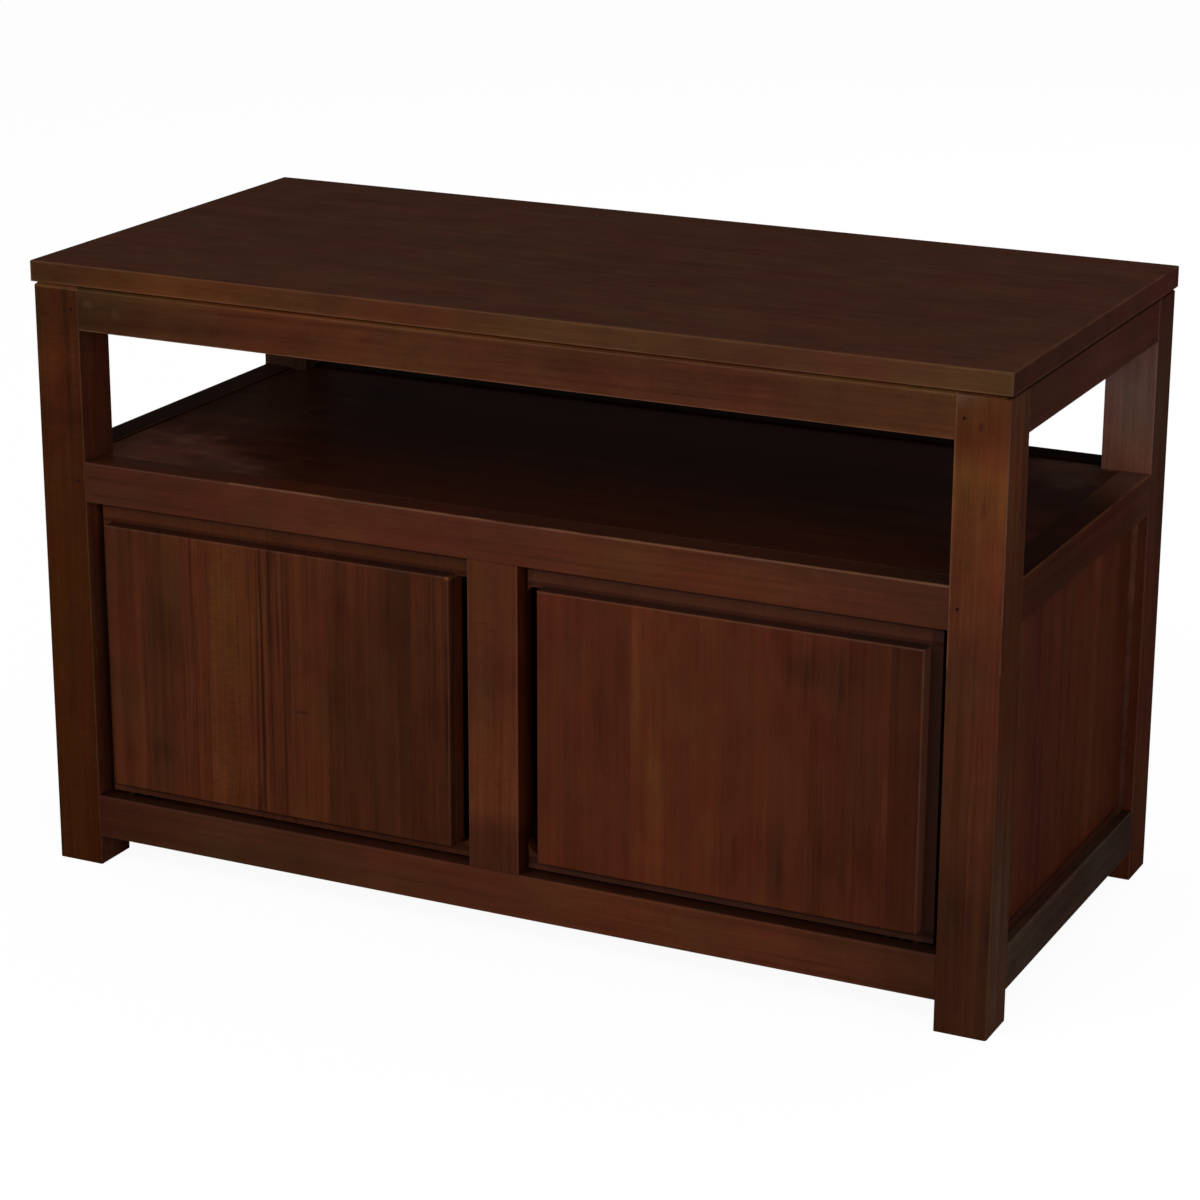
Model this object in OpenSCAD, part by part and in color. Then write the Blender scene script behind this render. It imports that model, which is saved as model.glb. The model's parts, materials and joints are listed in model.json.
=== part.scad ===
// Low television stand of dark stained hardwood. Four square legs and twelve
// rails make a pegged mortise and tenon frame. It carries a solid top, an open
// shelf bay and, below the shelf, a cupboard behind two inset doors that turn
// on hidden pin pivots and are pulled by slots beside the centre stile.
// Sizes are in millimetres. The origin is on the floor under the middle of the
// stand, with +X to the right, +Y to the back and +Z up. The doors are closed.

/* [Frame] */
// Width over the legs
frame_w = 950; // [850:1:1150]
// Depth over the legs
frame_d = 450; // [400:1:550]
// Height of the legs, up to the underside of the top
frame_h = 570; // [540:1:640]
// Side of a square leg
leg_side = 48; // [44:1:56]
// Thickness of every rail, front to back
rail_t = 30; // [28:1:34]
// Clear height under the bottom rails
foot_h = 29; // [15:1:50]
// Height of a bottom rail
bottom_rail_h = 42; // [38:1:60]
// Height of a middle rail, at the shelf
mid_rail_h = 39; // [36:1:50]
// Height of a top rail
top_rail_h = 42; // [36:1:60]
// Clear height of the open shelf bay
bay_h = 125; // [100:1:150]
// Width of the stile between the doors
stile_w = 50; // [40:1:70]
// Chamfer on the outer top edges of the frame, the shadow line under the top
chamfer = 4; // [2:0.5:6]
// Easing of the legs' outer corners and of the other rails' outer top edges
arris = 1.5; // [0.5:0.5:3]

/* [Tabletop] */
// Thickness of the top
top_t = 20; // [16:1:30]
// Overhang of the top past the frame, on every side
top_overhang = 1.5; // [0:0.5:10]
// Easing of the top's upper edges
top_ease = 1.5; // [0.5:0.5:4]

/* [Joints in the wood] */
// Thickness of a tenon
tenon_t = 10; // [8:1:12]
// Length of a tenon into a leg
tenon_len = 22; // [18:1:24]
// Step from a rail's edge to its tenon
tenon_step = 8; // [7:1:11]
// Length of the centre stile's short tenons
stub_len = 15; // [10:1:20]
// Room round a tenon, a leaf or a panel's edge
fit_room = 0.1; // [0.05:0.05:0.2]
// Room past the end of a tenon
end_room = 1; // [0.5:0.5:2]
// Diameter of a joint pin
peg_d = 3; // [2.5:0.5:5]
// Length of a joint pin
peg_len = 26; // [22:1:40]
// Distance of a joint pin from the leg's inner face
peg_in = 8; // [6:1:12]

/* [Panels] */
// Thickness of a side panel
side_panel_t = 10; // [8:1:12]
// Setback of a side panel from the legs' outer faces
side_panel_in = 14; // [10:1:14]
// Thickness of the back panel
back_panel_t = 6; // [4:1:10]
// Setback of the back panel from the legs' rear faces
back_panel_in = 12; // [8:1:14]
// Depth of the grooves that hold the panels
groove_depth = 6; // [4:1:7]
// Room at a panel's edge in its groove
panel_room = 0.5; // [0.3:0.1:1]
// Radius of the quarter round bead in the side recess
bead_r = 5; // [3:0.5:7]

/* [Shelf and bottom] */
// Thickness of the shelf board
shelf_t = 18; // [15:1:22]
// Drop of a board's surface below the top of its rails
board_drop = 2; // [1:0.5:4]
// Room round a board
board_room = 1; // [0.5:0.5:1]
// Thickness of the bottom board
bottom_t = 15; // [12:1:18]
// Thickness of the cleats, and height of the bottom ones
cleat_t = 18; // [14:1:22]
// Width of the bearers across the middle
bearer_w = 24; // [18:1:40]

/* [Top battens] */
// Distance of a batten from the middle
batten_x = 200; // [120:5:300]
// Width of a batten
batten_w = 45; // [30:1:60]
// Height of a batten
batten_h = 22; // [18:1:30]
// Depth to which a batten is let into the rails
batten_in = 8; // [5:1:12]
// Spacing of the screws along a batten
batten_screw_pitch = 130; // [80:5:160]
// Length of a top screw
top_screw_len = 34; // [26:1:36]
// Radius of a top screw's shank
top_screw_r = 2; // [1.5:0.25:2.5]
// Radius of a top screw's head
top_screw_head_r = 4; // [3.5:0.25:5]

/* [Doors] */
// Thickness of a door over its raised field
door_t = 26; // [25:1:30]
// Setback of the lip round the field from the frame's face
lip_in = 15; // [10:1:16]
// Distance from the sides of the opening to the raised field
field_margin = 19; // [15:1:22]
// Distance from the top of the opening to the raised field
field_head = 20; // [15:1:22]
// Distance from the bottom of the opening to the raised field
field_foot = 15; // [12:1:22]
// Easing of the field's front edges
field_ease = 1.5; // [0.5:0.5:3]
// Gap at a door's top, bottom and meeting edge
door_gap = 3; // [2:0.5:4]
// Gap beside the leg, where the door's rear corner swings in
hinge_gap = 8; // [6:0.5:9]
// Distance of the pull slot's top end below the field's top edge
slot_top_in = 2; // [2:1:20]
// Radius at the pull slot's top end
slot_top_r = 6; // [3:1:10]

/* [Pivots] */
// Distance of the pivot from the leg's inner face
pivot_in = 25; // [24:0.5:30]
// Radius of a pivot pin
pivot_r = 2.5; // [2:0.25:3]
// Running room round a pivot pin
pivot_room = 0.05; // [0.03:0.01:0.1]
// Reach of the pin past the frame leaf
pivot_reach = 8; // [4:1:12]
// Room round that end of the pin in the rail
pin_end_room = 0.5; // [0.4:0.1:1]
// Width of a pivot leaf
leaf_w = 8; // [7:0.5:9]
// Thickness of a pivot leaf
leaf_t = 2.5; // [2:0.25:3]
// Length of a pivot leaf from the pivot to its square end
leaf_len = 34; // [30:1:50]
// Distance of a leaf's first screw from the pivot
leaf_screw_first = 14; // [12:1:16]
// Spacing of a leaf's two screws
leaf_screw_pitch = 13; // [10:1:14]
// Play between the boss of the frame leaf and the door leaf
boss_play = 0.3; // [0.3:0.1:0.6]

/* [Catches] */
// Distance of a catch's middle from the centre stile
catch_from_stile = 45; // [35:1:120]
// Width of a catch's body
catch_w = 28; // [24:1:40]
// Width of a catch over its ears
catch_ear_w = 46; // [42:1:60]
// Depth of a catch, front to back
catch_d = 20; // [18:1:24]
// Height of a catch
catch_h = 14; // [12:1:18]
// Thickness of a catch's ears
catch_ear_t = 3; // [2:0.5:4]
// Width of a magnet
magnet_w = 20; // [14:1:22]
// Depth of a magnet into the catch
magnet_d = 4; // [3:0.5:6]
// Height of a magnet
magnet_h = 6; // [4:0.5:8]
// Width of a strike plate
strike_w = 30; // [20:1:36]
// Height of a strike plate
strike_h = 10; // [8:1:11]
// Distance of a strike plate from the door's top edge
strike_in = 0.5; // [0.5:0.5:1]
// Thickness of a strike plate
strike_t = 1.2; // [1:0.1:2]
// Gap between a closed strike plate and its catch
strike_gap = 0.3; // [0.3:0.1:0.6]

/* [Small screws] */
// Length of a small screw
small_screw_len = 9; // [8:0.5:10]
// Radius of a small screw's shank
small_screw_r = 1.3; // [1:0.1:1.5]
// Radius of a small screw's head
small_screw_head_r = 2.6; // [2.2:0.1:3]
// Room round a screw in its hole
screw_room = 0.05; // [0.03:0.01:0.1]

/* [Hidden] */
$fn = 48;
half_w = frame_w / 2;
half_d = frame_d / 2;
front = -half_d;
// Inner faces of the legs, as half widths
bay_x = half_w - leg_side;
bay_y = half_d - leg_side;
// Heights of the rails' edges
bottom_rail_top = foot_h + bottom_rail_h;
top_rail_z = frame_h - top_rail_h;
mid_rail_top = top_rail_z - bay_h;
mid_rail_z = mid_rail_top - mid_rail_h;
opening_h = mid_rail_z - bottom_rail_top;
opening_mid_z = (mid_rail_z + bottom_rail_top) / 2;
// Tenons lie in the middle of a rail's thickness
tenon_y = (rail_t - tenon_t) / 2;
// Boards and their cleats
shelf_z = mid_rail_top - board_drop - shelf_t;
bottom_z = bottom_rail_top - board_drop - bottom_t;
cleat_half_x = half_w - max(leg_side, rail_t + cleat_t) - board_room;
cleat_half_y = bay_y - board_room;
// Left door, which the right door mirrors
door_x0 = -bay_x + hinge_gap;
door_x1 = -stile_w / 2 - door_gap;
door_z0 = bottom_rail_top + door_gap;
door_z1 = mid_rail_z - door_gap;
field_x0 = -bay_x + field_margin;
field_x1 = -stile_w / 2 - field_margin;
field_z0 = bottom_rail_top + field_foot;
field_z1 = mid_rail_z - field_head;
lip_y = front + lip_in;
door_back = front + door_t;
slot_w = door_x1 - field_x1;
pivot_x = -bay_x + pivot_in;
pivot_y = (lip_y + door_back) / 2;
catch_x = -stile_w / 2 - catch_from_stile;
catch_y = door_back + strike_t + strike_gap;
catch_screw_x = (catch_w + catch_ear_w) / 4;
catch_screw_y = front + rail_t + cleat_t / 2;
strike_z = door_z1 - strike_in - strike_h;
strike_mid_z = strike_z + strike_h / 2;
// Overshoot of a cutting solid past the face that it opens
over = 1;
// Height of a countersunk head as a share of its radius
head_slope = 0.9;

leg_wood = [0.29, 0.15, 0.08];
rail_wood = [0.27, 0.14, 0.08];
top_wood = [0.22, 0.13, 0.10];
panel_wood = [0.24, 0.11, 0.07];
door_wood_left = [0.28, 0.15, 0.09];
door_wood_right = [0.30, 0.13, 0.08];
inner_wood = [0.33, 0.20, 0.12];
peg_wood = [0.10, 0.05, 0.03];
leaf_metal = [0.55, 0.45, 0.28];
steel = [0.62, 0.62, 0.60];
plastic = [0.20, 0.12, 0.08];
magnet_metal = [0.30, 0.30, 0.32];

// Solid between two opposite corners
module block(low, high) {
    translate(low)
        cube(high - low);
}

// Children drawn from the outer face of the front (-1) or the rear (1) frame,
// with +Y pointing into the stand
module from_face(end) {
    translate([0, end * half_d, 0])
        mirror([0, end > 0 ? 1 : 0, 0])
            children();
}

// Children drawn from the outer face of the left (-1) or the right (1) side,
// with +X pointing into the stand
module from_side(side) {
    translate([side * half_w, 0, 0])
        mirror([side > 0 ? 1 : 0, 0, 0])
            children();
}

// Children drawn from a leg's outer corner, with +X and +Y pointing inwards
module from_corner(side, end) {
    from_side(side)
        translate([0, end * half_d, 0])
            mirror([0, end > 0 ? 1 : 0, 0])
                children();
}

// Children drawn for the left half, mirrored for the right one
module on_half(side) {
    mirror([side > 0 ? 1 : 0, 0, 0])
        children();
}

// Children drawn for a door's top, turned over for its bottom
module at_level(level) {
    if (level == "top")
        children();
    else
        translate([0, 0, 2 * opening_mid_z])
            mirror([0, 0, 1])
                children();
}

// Square bar on edge that cuts a chamfer along X, centred on the edge
module chamfer_cut(length, size) {
    bar = size * sqrt(2);
    rotate([45, 0, 0])
        cube([length, bar, bar], center = true);
}

// Section of a plate with eased upper corners
module eased_section(width, thick, ease) {
    polygon([[-width / 2, 0], [width / 2, 0], [width / 2, thick - ease],
        [width / 2 - ease, thick], [ease - width / 2, thick], [-width / 2, thick - ease]]);
}

// Plate centred on X and Y that stands on the plane below it
module eased_plate(width, depth, thick, ease) {
    intersection() {
        rotate([90, 0, 0])
            linear_extrude(depth, center = true)
                eased_section(width, thick, ease);
        rotate([90, 0, 90])
            linear_extrude(width, center = true)
                eased_section(depth, thick, ease);
    }
}

// Countersunk screw whose head is flush at the origin and whose tip points down
module screw(length, shank_r, head_r) {
    head_h = (head_r - shank_r) * head_slope;
    tip = shank_r * 2;
    slot = shank_r / 2;
    difference() {
        rotate_extrude()
            polygon([[0, 0], [head_r, 0], [shank_r, -head_h],
                [shank_r, tip - length], [0, -length]]);
        cube([2 * head_r + over, slot, 2 * slot], center = true);
    }
}

// Hole for that screw, opened upwards
module screw_hole(length, shank_r, head_r) {
    head_h = (head_r - shank_r) * head_slope;
    rotate_extrude()
        polygon([[0, over], [head_r + screw_room, over], [head_r + screw_room, 0],
            [shank_r + screw_room, -head_h], [shank_r + screw_room, -length - screw_room],
            [0, -length - screw_room]]);
}

module small_screw() {
    screw(small_screw_len, small_screw_r, small_screw_head_r);
}

module small_screw_hole() {
    screw_hole(small_screw_len, small_screw_r, small_screw_head_r);
}

// Tenon of a rail that runs along X, from the frame's outer face
module long_tenon(z, h, room) {
    reach = bay_x + tenon_len + (room > 0 ? end_room : 0);
    block([-reach, tenon_y - room, z + tenon_step - room],
        [reach, tenon_y + tenon_t + room, z + h - tenon_step + room]);
}

// Tenon of a rail that runs along Y, from the side's outer face
module short_tenon(z, h, room) {
    reach = bay_y + tenon_len + (room > 0 ? end_room : 0);
    block([tenon_y - room, -reach, z + tenon_step - room],
        [tenon_y + tenon_t + room, reach, z + h - tenon_step + room]);
}

// Tenons of the three rails on one face of the frame
module long_tenons(room) {
    long_tenon(foot_h, bottom_rail_h, room);
    long_tenon(mid_rail_z, mid_rail_h, room);
    long_tenon(top_rail_z, top_rail_h, room);
}

module short_tenons(room) {
    short_tenon(foot_h, bottom_rail_h, room);
    short_tenon(mid_rail_z, mid_rail_h, room);
    short_tenon(top_rail_z, top_rail_h, room);
}

// Joint pins of one face of the frame: one through each top and middle tenon
module face_pegs(radius, length) {
    for (side = [-1, 1], z = [mid_rail_z + mid_rail_h / 2, top_rail_z + (top_rail_h - chamfer) / 2])
        translate([side * (bay_x + peg_in), 0, z])
            rotate([-90, 0, 0])
                cylinder(h = length, r = radius);
}

module peg_holes() {
    translate([0, -over, 0])
        face_pegs(peg_d / 2 + fit_room / 2, peg_len + over + fit_room);
}

// Groove for a side panel, cut in the legs and rails round the recess
module side_groove() {
    block([side_panel_in - fit_room, -bay_y - groove_depth, bottom_rail_top - groove_depth],
        [side_panel_in + side_panel_t + fit_room, bay_y + groove_depth, mid_rail_z + groove_depth]);
}

// Groove for the back panel
module back_groove() {
    block([-bay_x - groove_depth, back_panel_in - fit_room, bottom_rail_top - groove_depth],
        [bay_x + groove_depth, back_panel_in + back_panel_t + fit_room, mid_rail_z + groove_depth]);
}

// Short tenons at the ends of the centre stile
module stile_tenon(room) {
    half = stile_w / 2 - tenon_step + room;
    reach = stub_len + (room > 0 ? end_room : 0);
    from_face(-1)
        block([-half, tenon_y - room, bottom_rail_top - reach],
            [half, tenon_y + tenon_t + room, mid_rail_z + reach]);
}

// Pivot leaf, seen from above, with its round end on the pivot
module leaf_plate(room, thick) {
    cylinder(h = thick, r = leaf_w / 2 + room);
    block([0, -leaf_w / 2 - room, 0], [leaf_len + room, leaf_w / 2 + room, thick]);
}

// Children repeated at a leaf's two screws
module at_leaf_screws() {
    for (i = [0, 1])
        translate([leaf_screw_first + i * leaf_screw_pitch, 0, 0])
            children();
}

// Frame leaf above a door's top edge, with a bored boss that keeps the gap
module frame_leaf() {
    boss_h = door_gap - boss_play;
    color(leaf_metal)
        translate([pivot_x, pivot_y, mid_rail_z])
            difference() {
                union() {
                    leaf_plate(0, leaf_t);
                    translate([0, 0, -boss_h])
                        cylinder(h = boss_h + leaf_t / 2, r = leaf_w / 2);
                }
                translate([0, 0, -boss_h - over])
                    cylinder(h = boss_h + leaf_t + 2 * over, r = pivot_r + pivot_room);
                at_leaf_screws()
                    mirror([0, 0, 1])
                        small_screw_hole();
            }
}

// Room in a front rail for the frame leaf, its screws and the pin's end
module frame_leaf_room() {
    translate([pivot_x, pivot_y, mid_rail_z]) {
        translate([0, 0, -over])
            leaf_plate(fit_room, leaf_t + over);
        cylinder(h = leaf_t + pivot_reach + end_room, r = pivot_r + pin_end_room);
        at_leaf_screws()
            mirror([0, 0, 1])
                small_screw_hole();
    }
}

// Door leaf let into a door's top edge, with its pivot pin
module door_leaf() {
    color(leaf_metal)
        translate([pivot_x, pivot_y, door_z1 - leaf_t]) {
            difference() {
                leaf_plate(0, leaf_t);
                at_leaf_screws()
                    translate([0, 0, leaf_t])
                        small_screw_hole();
            }
            cylinder(h = 2 * leaf_t + door_gap + pivot_reach, r = pivot_r);
        }
}

// Room in a door's top edge for the door leaf and its screws
module door_leaf_room() {
    translate([pivot_x, pivot_y, door_z1]) {
        translate([0, 0, -leaf_t])
            leaf_plate(fit_room, leaf_t + over);
        at_leaf_screws()
            small_screw_hole();
    }
}

// Screws of one leaf pair, on the frame's side and on the door's side
module frame_leaf_screws() {
    translate([pivot_x, pivot_y, mid_rail_z])
        at_leaf_screws()
            mirror([0, 0, 1])
                small_screw();
}

module door_leaf_screws() {
    translate([pivot_x, pivot_y, door_z1])
        at_leaf_screws()
            small_screw();
}

module tabletop() {
    color(top_wood)
        difference() {
            translate([0, 0, frame_h])
                eased_plate(frame_w + 2 * top_overhang, frame_d + 2 * top_overhang, top_t, top_ease);
            top_screw_places()
                screw_hole(top_screw_len, top_screw_r, top_screw_head_r);
        }
}

// Children repeated at the top screws, with their heads under the battens
module top_screw_places() {
    for (side = [-1, 1], i = [-1, 0, 1])
        translate([side * batten_x, i * batten_screw_pitch, frame_h - batten_h])
            mirror([0, 0, 1])
                children();
}

// Bar of a batten, which rests on the floor of its housings in the top rails
module batten_bar(side, room, rise) {
    reach = half_d - rail_t + batten_in + room;
    block([side * batten_x - batten_w / 2 - room, -reach, frame_h - batten_h],
        [side * batten_x + batten_w / 2 + room, reach, frame_h + rise]);
}

// Batten across the frame, under the top
module top_batten(side) {
    color(inner_wood)
        difference() {
            batten_bar(side, 0, 0);
            top_screw_places()
                screw_hole(top_screw_len, top_screw_r, top_screw_head_r);
        }
}

module top_screws() {
    color(steel)
        top_screw_places()
            screw(top_screw_len, top_screw_r, top_screw_head_r);
}

// Leg with its mortises, panel grooves, pin holes and chamfered top
module leg(side, end) {
    color(leg_wood)
        difference() {
            from_corner(side, end)
                difference() {
                    cube([leg_side, leg_side, frame_h]);
                    translate([leg_side / 2, 0, frame_h])
                        chamfer_cut(leg_side + 2 * over, chamfer);
                    translate([0, leg_side / 2, frame_h])
                        rotate([0, 0, 90])
                            chamfer_cut(leg_side + 2 * over, chamfer);
                    translate([0, 0, frame_h / 2])
                        rotate([0, 90, 0])
                            chamfer_cut(frame_h + 2 * over, arris);
                }
            from_face(end) {
                long_tenons(fit_room);
                peg_holes();
            }
            from_side(side) {
                short_tenons(fit_room);
                side_groove();
            }
            if (end > 0)
                from_face(end)
                    back_groove();
        }
}

// Rail along X from the outer face of the frame, with its outer top edge cut
module long_rail(z, h, edge) {
    difference() {
        union() {
            block([-bay_x, 0, z], [bay_x, rail_t, z + h]);
            long_tenon(z, h, 0);
        }
        translate([0, 0, z + h])
            chamfer_cut(2 * half_w, edge);
        peg_holes();
    }
}

// Rail along Y from the outer face of a side, with its outer top edge cut
module short_rail(z, h, edge) {
    difference() {
        union() {
            block([0, -bay_y, z], [rail_t, bay_y, z + h]);
            short_tenon(z, h, 0);
        }
        translate([0, 0, z + h])
            rotate([0, 0, 90])
                chamfer_cut(2 * half_d, edge);
    }
}

// Top rail along X, housed for the ends of the battens
module top_rail_long(end) {
    color(rail_wood)
        difference() {
            from_face(end)
                long_rail(top_rail_z, top_rail_h, chamfer);
            for (side = [-1, 1])
                batten_bar(side, fit_room, over);
        }
}

module top_rail_short(side) {
    color(rail_wood)
        from_side(side)
            short_rail(top_rail_z, top_rail_h, chamfer);
}

module mid_rail_front() {
    color(rail_wood)
        difference() {
            from_face(-1)
                long_rail(mid_rail_z, mid_rail_h, arris);
            stile_tenon(fit_room);
            for (side = [-1, 1])
                on_half(side)
                    frame_leaf_room();
        }
}

module bottom_rail_front() {
    color(rail_wood)
        difference() {
            from_face(-1)
                long_rail(foot_h, bottom_rail_h, arris);
            stile_tenon(fit_room);
            for (side = [-1, 1])
                on_half(side)
                    at_level("bottom")
                        frame_leaf_room();
        }
}

// Rear rail at the shelf or at the bottom, grooved for the back panel
module grooved_long_rail(z, h) {
    color(rail_wood)
        from_face(1)
            difference() {
                long_rail(z, h, arris);
                back_groove();
            }
}

// Side rail at the shelf or at the bottom, grooved for the side panel
module grooved_short_rail(side, z, h) {
    color(rail_wood)
        from_side(side)
            difference() {
                short_rail(z, h, arris);
                side_groove();
            }
}

module centre_stile() {
    color(leg_wood)
        union() {
            from_face(-1)
                block([-stile_w / 2, 0, bottom_rail_top], [stile_w / 2, rail_t, mid_rail_z]);
            stile_tenon(0);
        }
}

module joint_pins() {
    color(peg_wood)
        for (end = [-1, 1])
            from_face(end)
                face_pegs(peg_d / 2, peg_len);
}

// Board inside the rails, notched round the legs
module notched_board(z, thick) {
    reach_x = half_w - rail_t - board_room;
    reach_y = half_d - rail_t - board_room;
    notch = leg_side + board_room;
    difference() {
        block([-reach_x, -reach_y, z], [reach_x, reach_y, z + thick]);
        for (side = [-1, 1], end = [-1, 1])
            from_corner(side, end)
                block([0, 0, z - over], [notch, notch, z + thick + over]);
    }
}

// Four cleats on the rails' inner faces, under a board
module cleats(z, h) {
    for (end = [-1, 1])
        from_face(end)
            block([-cleat_half_x, rail_t, z], [cleat_half_x, rail_t + cleat_t, z + h]);
    for (side = [-1, 1])
        from_side(side)
            block([rail_t, -cleat_half_y, z], [rail_t + cleat_t, cleat_half_y, z + h]);
}

// Bearer from the front cleat to the rear one
module bearer(z, h) {
    reach = half_d - rail_t - cleat_t;
    block([-bearer_w / 2, -reach, z], [bearer_w / 2, reach, z + h]);
}

module shelf_board() {
    color(top_wood)
        notched_board(shelf_z, shelf_t);
}

module shelf_cleats() {
    color(inner_wood)
        difference() {
            cleats(mid_rail_z, shelf_z - mid_rail_z);
            catch_screw_places()
                small_screw_hole();
        }
}

module shelf_bearer() {
    color(inner_wood)
        bearer(mid_rail_z, shelf_z - mid_rail_z);
}

module bottom_board() {
    color(inner_wood)
        notched_board(bottom_z, bottom_t);
}

module bottom_cleats() {
    color(inner_wood)
        cleats(bottom_z - cleat_t, cleat_t);
}

module bottom_bearer() {
    color(inner_wood)
        bearer(bottom_z - cleat_t, cleat_t);
}

// Panel that stands on the floor of its groove, with room on the other edges
module side_panel(side) {
    edge = groove_depth - panel_room;
    color(panel_wood)
        from_side(side)
            block([side_panel_in, -bay_y - edge, bottom_rail_top - groove_depth],
                [side_panel_in + side_panel_t, bay_y + edge, mid_rail_z + edge]);
}

module back_panel() {
    edge = groove_depth - panel_room;
    color(panel_wood)
        from_face(1)
            block([-bay_x - edge, back_panel_in, bottom_rail_top - groove_depth],
                [bay_x + edge, back_panel_in + back_panel_t, mid_rail_z + edge]);
}

// Mitred quarter round strip along Y, with its corner on the origin
module bead_strip(length) {
    intersection() {
        rotate([90, 0, 0])
            linear_extrude(length, center = true)
                intersection() {
                    circle(bead_r);
                    translate([-bead_r, 0])
                        square(bead_r);
                }
        rotate([90, 0, 90])
            linear_extrude(2 * bead_r + 2 * over, center = true)
                polygon([[-length / 2, 0], [length / 2, 0],
                    [length / 2 - bead_r, bead_r], [bead_r - length / 2, bead_r]]);
    }
}

// Four beads round the recess of one side
module side_bead(side) {
    color(panel_wood)
        from_side(side)
            translate([side_panel_in, 0, opening_mid_z]) {
                for (turn = [0, 1])
                    mirror([0, 0, turn])
                        translate([0, 0, -opening_h / 2])
                            bead_strip(2 * bay_y);
                for (turn = [0, 1])
                    mirror([0, turn, 0])
                        translate([0, bay_y, 0])
                            rotate([90, 0, 0])
                                bead_strip(opening_h);
            }
}

// Pull slot through the lip at the meeting edge, as the cutter leaves it
module pull_slot() {
    slot_z1 = field_z1 - slot_top_in;
    translate([field_x1, door_back + over, 0])
        rotate([90, 0, 0])
            linear_extrude(door_t - lip_in + 2 * over) {
                translate([0, field_z0 + slot_w])
                    square([slot_w + over, slot_z1 - slot_top_r - field_z0 - slot_w]);
                translate([0, field_z0 + slot_w])
                    intersection() {
                        circle(slot_w);
                        translate([0, -slot_w])
                            square([slot_w, slot_w]);
                    }
                translate([0, slot_z1 - slot_top_r])
                    square([slot_w - slot_top_r, slot_top_r]);
                translate([slot_w - slot_top_r, slot_z1 - slot_top_r])
                    intersection() {
                        circle(slot_top_r);
                        square([slot_top_r, slot_top_r]);
                    }
            }
}

// Left door: a raised field on a thinner board, whose edge shows as a lip
module door_panel() {
    difference() {
        union() {
            block([door_x0, lip_y, door_z0], [door_x1, door_back, door_z1]);
            translate([(field_x0 + field_x1) / 2, lip_y + over, (field_z0 + field_z1) / 2])
                rotate([90, 0, 0])
                    eased_plate(field_x1 - field_x0, field_z1 - field_z0, lip_in + over, field_ease);
        }
        pull_slot();
        for (level = ["top", "bottom"])
            at_level(level)
                door_leaf_room();
        strike_screw_place()
            small_screw_hole();
    }
}

// Magnetic catch under the shelf's front cleat, with an ear at each end
module catch() {
    color(plastic)
        difference() {
            translate([catch_x, catch_y, mid_rail_z]) {
                block([-catch_w / 2, 0, -catch_h], [catch_w / 2, catch_d, 0]);
                block([-catch_ear_w / 2, 0, -catch_ear_t], [catch_ear_w / 2, catch_d, 0]);
            }
            magnet();
            catch_screw_places()
                small_screw_hole();
        }
}

// Magnet in the catch's front face, level with the strike plate
module magnet() {
    translate([catch_x, catch_y, strike_mid_z])
        block([-magnet_w / 2, 0, -magnet_h / 2], [magnet_w / 2, magnet_d, magnet_h / 2]);
}

// Children repeated at the catch screws, pointing up into the cleat
module catch_screw_places() {
    for (side = [-1, 1])
        on_half(side)
            for (i = [-1, 1])
                translate([catch_x + i * catch_screw_x, catch_screw_y, mid_rail_z - catch_ear_t])
                    mirror([0, 0, 1])
                        children();
}

module catch_magnets() {
    color(magnet_metal)
        for (side = [-1, 1])
            on_half(side)
                magnet();
}

module door_strike() {
    color(steel)
        difference() {
            block([catch_x - strike_w / 2, door_back, strike_z],
                [catch_x + strike_w / 2, door_back + strike_t, strike_z + strike_h]);
            strike_screw_place()
                small_screw_hole();
        }
}

// Children at the strike's screw, pointing forward into the lip
module strike_screw_place() {
    translate([catch_x, door_back + strike_t, strike_mid_z])
        rotate([-90, 0, 0])
            children();
}

module frame_screws() {
    color(steel) {
        for (side = [-1, 1], level = ["top", "bottom"])
            on_half(side)
                at_level(level)
                    frame_leaf_screws();
        catch_screw_places()
            small_screw();
    }
}

module door_screws(side) {
    color(steel)
        on_half(side) {
            for (level = ["top", "bottom"])
                at_level(level)
                    door_leaf_screws();
            strike_screw_place()
                small_screw();
        }
}

tabletop();
top_batten(-1);  // top_batten_left
top_batten(1);  // top_batten_right
top_screws();
leg(-1, -1);  // leg_front_left
leg(1, -1);  // leg_front_right
leg(-1, 1);  // leg_rear_left
leg(1, 1);  // leg_rear_right
top_rail_long(-1);  // top_rail_front
top_rail_long(1);  // top_rail_rear
top_rail_short(-1);  // top_rail_left
top_rail_short(1);  // top_rail_right
mid_rail_front();
grooved_long_rail(mid_rail_z, mid_rail_h);  // mid_rail_rear
grooved_short_rail(-1, mid_rail_z, mid_rail_h);  // mid_rail_left
grooved_short_rail(1, mid_rail_z, mid_rail_h);  // mid_rail_right
bottom_rail_front();
grooved_long_rail(foot_h, bottom_rail_h);  // bottom_rail_rear
grooved_short_rail(-1, foot_h, bottom_rail_h);  // bottom_rail_left
grooved_short_rail(1, foot_h, bottom_rail_h);  // bottom_rail_right
centre_stile();
joint_pins();
shelf_board();
shelf_cleats();
shelf_bearer();
bottom_board();
bottom_cleats();
bottom_bearer();
side_panel(-1);  // side_panel_left
side_panel(1);  // side_panel_right
side_bead(-1);  // side_bead_left
side_bead(1);  // side_bead_right
back_panel();
frame_leaf();  // frame_leaf_left_top
at_level("bottom") frame_leaf();  // frame_leaf_left_bottom
on_half(1) frame_leaf();  // frame_leaf_right_top
on_half(1) at_level("bottom") frame_leaf();  // frame_leaf_right_bottom
catch();  // catch_left
on_half(1) catch();  // catch_right
catch_magnets();
frame_screws();
color(door_wood_left) door_panel();  // door_panel_left
door_leaf();  // door_leaf_left_top
at_level("bottom") door_leaf();  // door_leaf_left_bottom
door_strike();  // door_strike_left
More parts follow.
